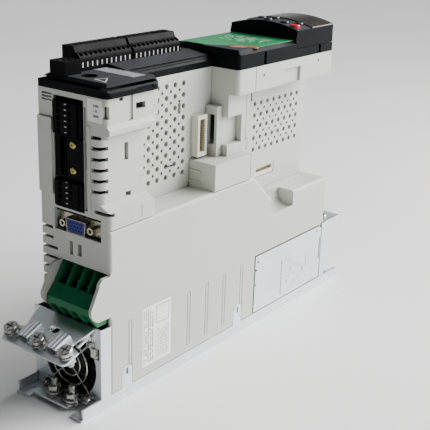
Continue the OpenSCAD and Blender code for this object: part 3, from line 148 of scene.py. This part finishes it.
class Look:
    """Builds one procedural material on object coordinates in metres."""

    def __init__(self, name):
        self.material = bpy.data.materials.new(name)
        self.material.use_nodes = True
        self.tree = self.material.node_tree
        self.bsdf = self.tree.nodes["Principled BSDF"]
        self.place = self.add("ShaderNodeTexCoord").outputs["Object"]
        split = self.add("ShaderNodeSeparateXYZ")
        self.link(self.place, split.inputs[0])
        self.axis = {"x": split.outputs[0], "y": split.outputs[1], "z": split.outputs[2]}
        self.normal = None

    def add(self, kind, **facts):
        node = self.tree.nodes.new(kind)
        for key, value in facts.items():
            setattr(node, key, value)
        return node

    def link(self, source, target):
        self.tree.links.new(source, target)

    def put(self, target, value):
        """Links a socket, or sets a plain value."""
        if isinstance(value, bpy.types.NodeSocket):
            self.link(value, target)
        elif hasattr(target.default_value, "__len__") and not hasattr(value, "__len__"):
            target.default_value = (value,) * len(target.default_value)
        elif hasattr(value, "__len__") and len(target.default_value) == 4 and len(value) == 3:
            target.default_value = (*value, 1.0)
        else:
            target.default_value = value

    def math(self, operation, a, b=0.0, clamp=False):
        node = self.add("ShaderNodeMath", operation=operation, use_clamp=clamp)
        self.put(node.inputs[0], a)
        self.put(node.inputs[1], b)
        return node.outputs[0]

    def stretched(self, stretch, shift=(0.0, 0.0, 0.0)):
        node = self.add("ShaderNodeMapping")
        self.link(self.place, node.inputs["Vector"])
        node.inputs["Scale"].default_value = stretch
        node.inputs["Location"].default_value = shift
        return node.outputs[0]

    def noise(self, scale, detail=3.0, rough=0.55, stretch=None, shift=(0.0, 0.0, 0.0)):
        node = self.add("ShaderNodeTexNoise")
        self.link(self.stretched(stretch or (1.0, 1.0, 1.0), shift), node.inputs["Vector"])
        node.inputs["Scale"].default_value = scale
        node.inputs["Detail"].default_value = detail
        node.inputs["Roughness"].default_value = rough
        return node.outputs["Fac"]

    def cells(self, scale, feature="F1", output="Distance", stretch=None):
        node = self.add("ShaderNodeTexVoronoi", feature=feature)
        self.link(self.stretched(stretch or (1.0, 1.0, 1.0)), node.inputs["Vector"])
        node.inputs["Scale"].default_value = scale
        return node.outputs[output]

    def span(self, value, low, high, to_low=0.0, to_high=1.0):
        """Maps low..high to to_low..to_high, clamped."""
        node = self.add("ShaderNodeMapRange")
        self.put(node.inputs["Value"], value)
        node.inputs["From Min"].default_value = low
        node.inputs["From Max"].default_value = high
        node.inputs["To Min"].default_value = to_low
        node.inputs["To Max"].default_value = to_high
        return node.outputs["Result"]

    def mix(self, amount, first, second):
        node = self.add("ShaderNodeMix", data_type="RGBA")
        self.put(node.inputs[0], amount)
        self.put(node.inputs[6], first)
        self.put(node.inputs[7], second)
        return node.outputs[2]

    def within(self, axis, low, high, soft=0.00005):
        """1 between low and high along an axis, with a soft edge."""
        rise = self.span(self.axis[axis], low - soft, low + soft)
        fall = self.span(self.axis[axis], high - soft, high + soft, 1.0, 0.0)
        return self.math("MULTIPLY", rise, fall)

    def patch(self, axes, low, high):
        """1 inside a rectangle on two axes."""
        first = self.within(axes[0], low[0], high[0])
        return self.math("MULTIPLY", first, self.within(axes[1], low[1], high[1]))

    def rows(self, across, along, pitch, fill, word, seed=0.0, ragged=0.5):
        """Rows of broken strokes, like small generic print that says nothing."""
        step = self.math("DIVIDE", self.axis[across], pitch)
        line = self.math("FLOOR", step)
        stroke = self.math("LESS_THAN", self.math("FRACT", step), fill)
        join = self.add("ShaderNodeCombineXYZ")
        self.link(self.math("MULTIPLY", self.axis[along], 1.0 / word), join.inputs[0])
        self.link(self.math("MULTIPLY", line, 7.31), join.inputs[1])
        join.inputs[2].default_value = seed
        speck = self.add("ShaderNodeTexNoise")
        self.link(join.outputs[0], speck.inputs["Vector"])
        speck.inputs["Scale"].default_value = 1.0
        speck.inputs["Detail"].default_value = 2.0
        word_mask = self.math("GREATER_THAN", speck.outputs["Fac"], ragged)
        return self.math("MULTIPLY", stroke, word_mask)

    def edge(self, radius, low=0.02, high=0.35):
        """1 on convex and concave edges, from how far a rounded normal leans away."""
        bevel = self.add("ShaderNodeBevel")
        bevel.samples = 4
        bevel.inputs["Radius"].default_value = radius
        geometry = self.add("ShaderNodeNewGeometry")
        dot = self.add("ShaderNodeVectorMath", operation="DOT_PRODUCT")
        self.link(bevel.outputs[0], dot.inputs[0])
        self.link(geometry.outputs["Normal"], dot.inputs[1])
        lean = self.math("SUBTRACT", 1.0, dot.outputs["Value"])
        return self.span(lean, low, high)

    def cavity(self, distance, low=0.10, high=0.62):
        """1 in grooves and holes narrower than the distance, 0 on open faces, from ambient occlusion; used to
        paint shade into them.
        """
        node = self.add("ShaderNodeAmbientOcclusion", samples=6)
        node.inputs["Distance"].default_value = distance
        return self.span(node.outputs["AO"], low, high, 1.0, 0.0)

    def upward(self, low=0.75, high=0.95):
        """1 where a face looks up, so that settled dust and a painted sheen show there."""
        geometry = self.add("ShaderNodeNewGeometry")
        split = self.add("ShaderNodeSeparateXYZ")
        self.link(geometry.outputs["Normal"], split.inputs[0])
        return self.span(split.outputs[2], low, high)

    def border(self, axes, low, high, width):
        """1 in a band just inside a rectangle on two axes."""
        inner = self.patch(axes, (low[0] + width, low[1] + width), (high[0] - width, high[1] - width))
        return self.math("SUBTRACT", self.patch(axes, low, high), inner, clamp=True)

    def inside_corners(self, axes, corners, inset):
        """1 inside a convex outline given anticlockwise on two axes, shrunk by an inset."""
        product = None
        for first, second in zip(corners, corners[1:] + corners[:1]):
            run = (Vector(second) - Vector(first)).normalized()
            across = self.math("MULTIPLY", self.math("SUBTRACT", self.axis[axes[0]], first[0]), -run.y)
            along = self.math("MULTIPLY", self.math("SUBTRACT", self.axis[axes[1]], first[1]), run.x)
            depth = self.math("ADD", across, along)
            side = self.span(depth, inset - 0.00005, inset + 0.00005)
            product = side if product is None else self.math("MULTIPLY", product, side)
        return product

    def outline(self, axes, corners, width):
        """1 in a band just inside a convex outline."""
        outer = self.inside_corners(axes, corners, 0.0)
        return self.math("SUBTRACT", outer, self.inside_corners(axes, corners, width), clamp=True)

    def bump(self, height, strength, distance):
        node = self.add("ShaderNodeBump")
        node.inputs["Strength"].default_value = strength
        node.inputs["Distance"].default_value = distance
        self.link(height, node.inputs["Height"])
        if self.normal is not None:
            self.link(self.normal, node.inputs["Normal"])
        self.normal = node.outputs["Normal"]

    def done(self, colour, rough, metal=0.0, specular=0.5, coat=0.0):
        self.put(self.bsdf.inputs["Base Color"], colour)
        self.put(self.bsdf.inputs["Roughness"], rough)
        self.bsdf.inputs["Metallic"].default_value = metal
        self.bsdf.inputs["Specular IOR Level"].default_value = specular
        self.bsdf.inputs["Coat Weight"].default_value = coat
        if self.normal is not None:
            self.link(self.normal, self.bsdf.inputs["Normal"])
        return self.material


def shade(colour, factor):
    return tuple(min(1.0, c * factor) for c in colour)


# ------------------------------------------------------------------ materials


def moulded(name, colour, rough, grain=0.35, mottle=0.05, dust=0.0, dust_colour=(0.6, 0.6, 0.57),
            specular=0.4, grime_and_shade=0.0, settled_dust_and_sheen=None, marks=None):
    """Spark-eroded moulded plastic, with handling marks, paler edges that are partly rubbed wear and partly
    painted highlight, a top-face film that is partly settled dust and partly painted sheen, and painted shade
    in joints, grooves and holes.
    """
    look = Look(name)
    broad = look.noise(9.0, 3.0, 0.6)
    fine = look.noise(160.0, 4.0, 0.6)
    tone = look.mix(look.span(broad, 0.35, 0.65), shade(colour, 1 - mottle), shade(colour, 1 + mottle))
    tone = look.mix(look.span(fine, 0.3, 0.7, 0.0, 0.5), tone, shade(colour, 1 - mottle * 1.4))
    # partly rubbed wear and partly painted highlight: edges, concave ones too, turn paler on pale plastic and
    # grey on dark plastic
    wear_and_highlight = look.math("MULTIPLY", look.edge(0.0006), look.span(look.noise(300.0, 3.0), 0.40, 0.60, 0.1, 0.8))
    tone = look.mix(wear_and_highlight, tone, shade(colour, 1.25) if colour[0] > 0.3 else shade(colour, 2.6))
    # partly settled dust and partly painted sheen: faces that look up are lightened in clouds
    if settled_dust_and_sheen:
        cloud = look.span(look.noise(45.0, 5.0, 0.7), 0.25, 0.75, 0.55, 1.0)
        dust_and_sheen_film = look.math("MULTIPLY", look.upward(), cloud)
        tone = look.mix(dust_and_sheen_film, tone, settled_dust_and_sheen)
    if dust:
        grains = look.span(look.noise(900.0, 5.0, 0.75), 0.60, 0.74)
        specks = look.math("MULTIPLY", grains, look.span(broad, 0.4, 0.62))
        tone = look.mix(look.math("MULTIPLY", specks, dust), tone, dust_colour)
    if marks:
        tone = look.mix(marks(look), tone, (0.50, 0.50, 0.50))
    # painted shade: ambient occlusion darkens joints, grooves and holes towards a tenth of the colour
    if grime_and_shade:
        joint_shade = look.math("MULTIPLY", look.cavity(0.0034, 0.10, 0.64), grime_and_shade)
        tone = look.mix(joint_shade, tone, shade(colour, 0.10))
    gloss = look.span(look.noise(70.0, 5.0, 0.6, shift=(3.0, 1.0, 2.0)), 0.3, 0.7, rough - 0.07, rough + 0.09)
    look.bump(look.noise(2600.0, 2.0, 0.5), grain * 0.5, 0.00012)
    look.bump(look.noise(420.0, 4.0, 0.6), grain * 0.25, 0.0002)
    return look.done(tone, gloss, specular=specular)


def plug_marks(look):
    """Short pale strokes beside each pole of the terminal plugs, standing for pole numbers."""
    pole = look.math("DIVIDE", look.math("ADD", look.axis["x"], 0.1118), 0.0044)
    second = look.math("MULTIPLY", look.math("GREATER_THAN", look.axis["x"], -0.0622), 0.545)
    column = look.math("FRACT", look.math("SUBTRACT", pole, second))
    stroke = look.math("MULTIPLY", look.span(column, 0.36, 0.40), look.span(column, 0.58, 0.62, 1.0, 0.0))
    bars = look.math("MULTIPLY", stroke, look.patch("yz", (0.0138, 0.2180), (0.0146, 0.2212)))
    level = look.math("FRACT", look.math("DIVIDE", look.axis["z"], 0.0036))
    short = look.math("MULTIPLY", look.span(level, 0.36, 0.40), look.span(level, 0.55, 0.59, 1.0, 0.0))
    relay = look.math("MULTIPLY", short, look.patch("xy", (-0.1352, 0.0042), (-0.1344, 0.0060)))
    wear = look.span(look.noise(700.0), 0.35, 0.5, 0.5, 1.0)
    return look.math("MULTIPLY", look.math("MAXIMUM", bars, relay), wear)


def hazard_outline(look):
    """Pale outline of a triangle on the terminal cover, with nothing inside it."""
    corners = [(-0.1235, -0.0092), (-0.1259, -0.0216), (-0.1151, -0.0130)]
    return look.math("MULTIPLY", look.outline("xy", corners, 0.0008), look.within("z", 0.2155, 0.2185))


def plated(name, colour, rough, painted_joint_shade=None):
    """Zinc-plated sheet: rolled streaks, faint spangle and dull blotches."""
    look = Look(name)
    rolled = (2.0, 240.0, 240.0)
    streak = look.noise(3.0, 5.0, 0.65, stretch=rolled)
    spangle = look.cells(210.0, output="Color")
    cloud = look.noise(38.0, 5.0, 0.62)
    tone = look.mix(look.span(cloud, 0.32, 0.68), shade(colour, 0.90), colour)
    tone = look.mix(look.span(streak, 0.35, 0.75, 0.0, 0.35), tone, shade(colour, 0.78))
    tone = look.mix(0.06, tone, spangle)
    # painted highlight: edges, concave ones too, are lightened
    edge_highlight = look.math("MULTIPLY", look.edge(0.0005), 0.45)
    tone = look.mix(edge_highlight, tone, shade(colour, 1.18))
    drawn = look.noise(26.0, 3.0, 0.5, stretch=(1.0, 14.0, 22.0), shift=(5.0, 2.0, 1.0))
    scratch = look.span(drawn, 0.66, 0.72)
    tone = look.mix(look.math("MULTIPLY", scratch, 0.25), tone, shade(colour, 0.7))
    # painted shade: ambient occlusion darkens holes and grooves
    tone = look.mix(look.math("MULTIPLY", look.cavity(0.0018), 0.85), tone, shade(colour, 0.10))
    # painted shade in the plate's joint and on its sunk triangle, passed in
    if painted_joint_shade:
        tone = look.mix(painted_joint_shade(look), tone, shade(colour, 0.05))
    base_gloss = look.span(cloud, 0.3, 0.7, rough - 0.08, rough + 0.10)
    gloss = look.math("ADD", base_gloss, look.math("MULTIPLY", streak, 0.08))
    look.bump(streak, 0.10, 0.0002)
    look.bump(look.noise(900.0, 3.0, 0.6), 0.12, 0.00006)
    return look.done(tone, gloss, metal=0.85, specular=0.5)


def plate_joint(look):
    """Painted shade in the joint round the side plate and along the edges of the sunk triangle on it."""
    on_plate = look.within("y", -0.0312, -0.0297)
    joint_shade = look.border("xz", (0.0301, 0.0090), (0.1293, 0.0577), 0.00050)
    # painted shade on the edges of the sunk triangle
    mark = look.math("MULTIPLY", look.edge(0.0004), look.patch("xz", (0.0660, 0.0095), (0.1030, 0.0460)))
    return look.math("MULTIPLY", on_plate, look.math("MAXIMUM", joint_shade, mark))


def turned(name, colour, rough=0.28, grime_and_shade=0.35):
    """Plated screws and nuts, with darker clouds of grime, painted highlight on the edges and painted shade
    in the recesses.
    """
    look = Look(name)
    cloud = look.noise(260.0, 5.0, 0.65)
    # darker clouds of grime
    tone = look.mix(look.span(cloud, 0.35, 0.7), colour, shade(colour, 1 - grime_and_shade))
    # painted highlight on the edges
    tone = look.mix(look.math("MULTIPLY", look.edge(0.0003), 0.35), tone, shade(colour, 1.2))
    gloss = look.span(look.noise(500.0, 4.0), 0.3, 0.7, rough - 0.08, rough + 0.16)
    # painted shade: ambient occlusion darkens the recesses
    tone = look.mix(look.math("MULTIPLY", look.cavity(0.0012), 0.8), tone, shade(colour, 0.12))
    look.bump(look.noise(1500.0, 4.0, 0.6), 0.18, 0.00008)
    return look.done(tone, gloss, metal=0.95)


def board(name):
    """Solder-masked circuit board with tracks under the mask."""
    look = Look(name)
    tracks = look.span(look.cells(420.0, "DISTANCE_TO_EDGE"), 0.02, 0.10, 1.0, 0.0)
    tone = look.mix(tracks, (0.012, 0.085, 0.035), (0.03, 0.17, 0.07))
    pads = look.span(look.cells(300.0), 0.0, 0.18, 1.0, 0.0)
    tone = look.mix(look.math("MULTIPLY", pads, 0.6), tone, (0.55, 0.50, 0.36))
    look.bump(tracks, 0.25, 0.00008)
    return look.done(tone, look.span(look.noise(300.0), 0.3, 0.7, 0.28, 0.45))


make_camera()
make_light()

MATERIALS = {}


def make_materials():
    case = (0.500, 0.510, 0.457)
    MATERIALS["case_plastic"] = moulded("case_plastic", case, 0.52, grain=0.30, mottle=0.030, dust=0.25,
                                        dust_colour=(0.36, 0.35, 0.31), grime_and_shade=0.92)
    MATERIALS["cover_plastic"] = moulded("cover_plastic", (0.0052, 0.0055, 0.0066), 0.40, grain=0.5,
                                         mottle=0.18,
                                         dust=0.22, dust_colour=(0.05, 0.05, 0.052), specular=0.035,
                                         settled_dust_and_sheen=(0.050, 0.051, 0.058), marks=hazard_outline)
    MATERIALS["terminal_plastic"] = moulded("terminal_plastic", (0.0030, 0.0030, 0.0034), 0.38, grain=0.25,
                                            mottle=0.2,
                                            dust=0.2, dust_colour=(0.03, 0.03, 0.03), specular=0.035,
                                            settled_dust_and_sheen=(0.010, 0.010, 0.011), marks=plug_marks)
    MATERIALS["fan_plastic"] = moulded("fan_plastic", (0.010, 0.009, 0.009), 0.42, grain=0.3, mottle=0.2,
                                       dust=0.5,
                                       dust_colour=(0.16, 0.14, 0.12))
    MATERIALS["clip_plastic"] = moulded("clip_plastic", (0.62, 0.63, 0.54), 0.45, mottle=0.05)
    MATERIALS["green_plastic"] = moulded("green_plastic", (0.005, 0.140, 0.054), 0.36, grain=0.25,
                                         mottle=0.12,
                                         dust=0.15, dust_colour=(0.10, 0.20, 0.13), specular=0.3)
    MATERIALS["blue_plastic"] = moulded("blue_plastic", (0.008, 0.016, 0.17), 0.34, mottle=0.1, specular=0.25)
    MATERIALS["cream_plastic"] = moulded("cream_plastic", (0.66, 0.65, 0.57), 0.42, mottle=0.06)
    MATERIALS["key_rubber"] = moulded("key_rubber", (0.012, 0.012, 0.014), 0.30, grain=0.2, mottle=0.2)
    MATERIALS["key_red"] = moulded("key_red", (0.52, 0.006, 0.025), 0.30, grain=0.2, mottle=0.10)
    MATERIALS["capacitor_sleeve"] = moulded("capacitor_sleeve", (0.015, 0.018, 0.035), 0.25, mottle=0.1)
    MATERIALS["zinc_steel"] = plated("zinc_steel", (0.78, 0.83, 0.87), 0.33, painted_joint_shade=plate_joint)
    MATERIALS["sink_alu"] = plated("sink_alu", (0.62, 0.63, 0.64), 0.45)
    MATERIALS["screw_steel"] = turned("screw_steel", (0.55, 0.55, 0.52), 0.22)
    MATERIALS["nickel"] = turned("nickel", (0.50, 0.47, 0.38), 0.26)
    MATERIALS["brass"] = turned("brass", (0.46, 0.37, 0.13), 0.26)
    MATERIALS["copper_wire"] = turned("copper_wire", (0.50, 0.18, 0.07), 0.30)
    MATERIALS["board_green"] = board("board_green")
    MATERIALS["lens_smoke"] = lens_look()
    MATERIALS["label_green"] = green_label_look()
    MATERIALS["label_copper"] = copper_label_look()
    MATERIALS["label_silver"] = silver_label_look()
    MATERIALS["label_white"] = white_label_look()


def lens_look():
    """Smoked glossy window with faint fingerprints."""
    look = Look("lens_smoke")
    smear = look.noise(55.0, 6.0, 0.7)
    tone = look.mix(look.span(smear, 0.3, 0.7), (0.040, 0.034, 0.031), (0.052, 0.045, 0.041))
    gloss = look.span(smear, 0.35, 0.7, 0.10, 0.26)
    look.bump(look.noise(30.0, 2.0), 0.05, 0.0003)
    return look.done(tone, gloss, specular=0.55, coat=0.5)


def green_label_look():
    """Printed green film with pale generic lines that say nothing."""
    look = Look("label_green")
    low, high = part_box("front_label")
    base = look.mix(look.span(look.noise(40.0, 4.0), 0.3, 0.7), (0.010, 0.215, 0.075), (0.018, 0.265, 0.098))
    lines = look.rows("x", "y", 0.0052, 0.34, 0.006, 2.0, 0.47)
    area = look.patch("xy", (low.x + 0.030, low.y + 0.010), (high.x - 0.012, high.y - 0.008))
    tone = look.mix(look.math("MULTIPLY", look.math("MULTIPLY", lines, area), 0.75), base, (0.62, 0.80, 0.66))
    look.bump(look.noise(700.0, 3.0), 0.05, 0.00005)
    return look.done(tone, look.span(look.noise(90.0, 4.0), 0.3, 0.7, 0.26, 0.40), specular=0.5)


def copper_label_look():
    """Metallic copper patch with soft banding."""
    look = Look("label_copper")
    bands = look.noise(70.0, 4.0, 0.6, stretch=(1.0, 2.5, 1.0))
    tone = look.mix(look.span(bands, 0.35, 0.65), (0.22, 0.085, 0.035), (0.62, 0.40, 0.20))
    return look.done(tone, look.span(look.noise(400.0), 0.3, 0.7, 0.28, 0.45), metal=0.55)


def silver_label_look():
    """Silver film with rows of generic print."""
    look = Look("label_silver")
    base = look.mix(look.span(look.noise(90.0, 4.0), 0.3, 0.7), (0.30, 0.31, 0.35), (0.37, 0.38, 0.42))
    marks = look.rows("x", "y", 0.0034, 0.3, 0.004, 5.0, 0.55)
    tone = look.mix(look.math("MULTIPLY", marks, 0.5), base, (0.06, 0.06, 0.08))
    return look.done(tone, look.span(look.noise(300.0), 0.3, 0.7, 0.34, 0.48), metal=0.25)


def white_label_look():
    """White rating plate: upright rows of generic print, a block of bars and one plain frame."""
    look = Look("label_white")
    base = look.mix(look.span(look.noise(120.0, 4.0), 0.3, 0.7), (0.80, 0.80, 0.76), (0.86, 0.86, 0.83))
    on_side = look.math("LESS_THAN", look.axis["y"], -0.0309)
    wide = look.rows("x", "z", 0.00225, 0.45, 0.0022, 1.0, 0.44)
    tight = look.rows("x", "z", 0.0014, 0.42, 0.0012, 3.0, 0.46)
    top = look.patch("xz", (-0.1010, 0.0175), (-0.0900, 0.0575))
    body = look.patch("xz", (-0.0885, 0.0175), (-0.0740, 0.0400))
    print_mask = look.math("MAXIMUM", look.math("MULTIPLY", wide, top), look.math("MULTIPLY", tight, body))
    frame_outer = look.patch("xz", (-0.0880, 0.0440), (-0.0745, 0.0575))
    frame_inner = look.patch("xz", (-0.0874, 0.0446), (-0.0751, 0.0569))
    ring = look.math("SUBTRACT", frame_outer, frame_inner)
    print_mask = look.math("MAXIMUM", print_mask, ring)
    print_mask = look.math("MULTIPLY", print_mask, on_side)
    on_end = look.math("LESS_THAN", look.axis["x"], -0.1331)
    strokes = look.rows("z", "y", 0.0032, 0.5, 0.0028, 9.0, 0.40)
    code = look.math("MULTIPLY", strokes, look.patch("yz", (-0.0222, 0.1948), (-0.0176, 0.2040)))
    print_mask = look.math("MAXIMUM", print_mask, look.math("MULTIPLY", code, on_end))
    tone = look.mix(look.math("MULTIPLY", print_mask, 0.82), base, (0.035, 0.035, 0.04))
    return look.done(tone, look.span(look.noise(500.0), 0.3, 0.7, 0.42, 0.55))


make_materials()

SLOT_OF = {part["node"]: part["material_slot"] for part in frame["record"]["subparts"]}


def dress(node):
    """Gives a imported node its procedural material."""
    thing = nodes[node]
    thing.data.materials.clear()
    thing.data.materials.append(MATERIALS[SLOT_OF[node]])


BEVEL_ANGLE = 32.0
FLAT_ANGLE = 0.6
WELD_DISTANCE = 0.000002


def soften(node, width):
    """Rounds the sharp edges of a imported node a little, by modifiers alone."""
    thing = nodes[node]
    for face in thing.data.polygons:
        face.use_smooth = True
    weld = thing.modifiers.new("weld", "WELD")
    weld.merge_threshold = WELD_DISTANCE
    flat = thing.modifiers.new("flat", "DECIMATE")
    flat.decimate_type = "DISSOLVE"
    flat.angle_limit = math.radians(FLAT_ANGLE)
    if width:
        bevel = thing.modifiers.new("bevel", "BEVEL")
        bevel.width = width
        bevel.segments = 2
        bevel.limit_method = "ANGLE"
        bevel.angle_limit = math.radians(BEVEL_ANGLE)
        bevel.harden_normals = False
        bevel.use_clamp_overlap = True
    smooth = thing.modifiers.new("normals", "WEIGHTED_NORMAL")
    smooth.weight = 60
    smooth.keep_sharp = True


for name in nodes:
    dress(name)

EDGE = {
    "lower_housing": 0.0005, "upper_housing": 0.0005, "terminal_cover": 0.0007, "keypad_cover": 0.0007,
    "keypad_body": 0.0006, "keypad_lens": 0.0003, "base_plate": 0.00035, "fan_bulkhead": 0.0003,
    "end_bracket": 0.0003, "side_cover_plate": 0.0003, "shield_bracket": 0.00035, "cable_saddles": 0.0003,
    "power_plug": 0.0003, "top_fixing_tab": 0.0003,
}
for name in nodes:
    soften(name, EDGE.get(name, 0.00015))


def contact_row(name, first, along, across, inward, count, pitch, length):
    """A row of bent spring contacts: strips that bow sideways and curl back at the tip."""
    work = bmesh.new()
    steps = 10
    for k in range(count):
        root = first + along * pitch * k
        rings = []
        for i in range(steps + 1):
            t = i / steps
            bow = 0.00045 * math.sin(math.pi * min(1.0, t * 1.25)) - 0.0003 * max(0.0, t - 0.8) * 5
            spine = root - inward * length * t + across * bow
            half = along * 0.00032 * (1.0 - 0.35 * t * t)
            thick = across * 0.00011
            corners = ((-1, -1), (1, -1), (1, 1), (-1, 1))
            rings.append([work.verts.new(spine + a * half + b * thick) for a, b in corners])
        for low, high in zip(rings, rings[1:]):
            for n in range(4):
                work.faces.new((low[n], low[(n + 1) % 4], high[(n + 1) % 4], high[n]))
        work.faces.new(rings[0][::-1])
        work.faces.new(rings[-1])
    bmesh.ops.recalc_face_normals(work, faces=work.faces)
    mesh = bpy.data.meshes.new(name)
    work.to_mesh(mesh)
    work.free()
    piece = bpy.data.objects.new(name, mesh)
    bpy.context.scene.collection.objects.link(piece)
    piece.data.materials.append(MATERIALS["brass"])
    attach(piece, "chassis")


def make_contacts():
    """Contacts inside the two option sockets."""
    x, y, z = (Vector(axis) for axis in ((1, 0, 0), (0, 1, 0), (0, 0, 1)))
    contact_row("socket_contacts_a", Vector((-21.2, -5.1, 150.0)) * MM, z, x, y, 18, 1.27 * MM, 6.6 * MM)
    contact_row("socket_contacts_b", Vector((-15.8, -5.1, 150.0)) * MM, z, -x, y, 18, 1.27 * MM, 6.6 * MM)
    contact_row("socket_contacts_c", Vector((60.8, -3.2, 114.6)) * MM, x, z, y, 17, 1.27 * MM, 3.2 * MM)


make_contacts()


def threaded_rod(work, foot, top, crest, root, pitch):
    """A rod with a real helical thread and a chamfered top."""
    sides = 32
    levels = int((top - foot.z) / (pitch / 8))
    rings = []
    for level in range(levels + 1):
        z = foot.z + (top - foot.z) * level / levels
        ring = []
        for side in range(sides):
            turn = side / sides
            phase = ((z - foot.z) / pitch - turn) % 1.0
            radius = root + (crest - root) * min(1.0, 1.5 * (1.0 - abs(2.0 * phase - 1.0)))
            radius = min(radius, crest - max(0.0, z - (top - 0.6 * MM)))
            angle = 2 * math.pi * turn
            x = foot.x + radius * math.cos(angle)
            y = foot.y + radius * math.sin(angle)
            ring.append(work.verts.new((x, y, z)))
        rings.append(ring)
    for low, high in zip(rings, rings[1:]):
        for side in range(sides):
            after = (side + 1) % sides
            work.faces.new((low[side], low[after], high[after], high[side]))
    work.faces.new(rings[0][::-1])
    work.faces.new(rings[-1])


def make_studs():
    """Threaded earth studs in the places of the plain ones."""
    low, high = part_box("earth_studs")
    radius = 2.3 * MM
    work = bmesh.new()
    for y in (low.y + radius, high.y - radius):
        threaded_rod(work, Vector((low.x + radius, y, low.z)), high.z, radius, 1.95 * MM, 0.8 * MM)
    mesh = bpy.data.meshes.new("earth_studs_threaded")
    work.to_mesh(mesh)
    work.free()
    piece = bpy.data.objects.new("earth_studs_threaded", mesh)
    bpy.context.scene.collection.objects.link(piece)
    piece.data.materials.append(MATERIALS["screw_steel"])
    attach(piece, "chassis")
    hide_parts("earth_studs")


make_studs()


def make_floor():
    """Plain pale table top, large enough to fill every view."""
    mesh = bpy.data.meshes.new("floor")
    work = bmesh.new()
    bmesh.ops.create_grid(work, x_segments=1, y_segments=1, size=FLOOR_HALF_SIZE)
    bmesh.ops.translate(work, verts=work.verts, vec=(0.0, 0.0, cad_lo.z))
    work.to_mesh(mesh)
    work.free()
    floor = bpy.data.objects.new("floor", mesh)
    bpy.context.scene.collection.objects.link(floor)
    look = Look("floor")
    tone = look.mix(look.span(look.noise(3.0, 4.0), 0.3, 0.7), (0.84, 0.845, 0.84), (0.88, 0.885, 0.88))
    look.bump(look.noise(500.0, 3.0), 0.04, 0.0001)
    gloss = look.span(look.noise(30.0), 0.3, 0.7, 0.55, 0.65)
    floor.data.materials.append(look.done(tone, gloss, specular=0.3))


make_floor()
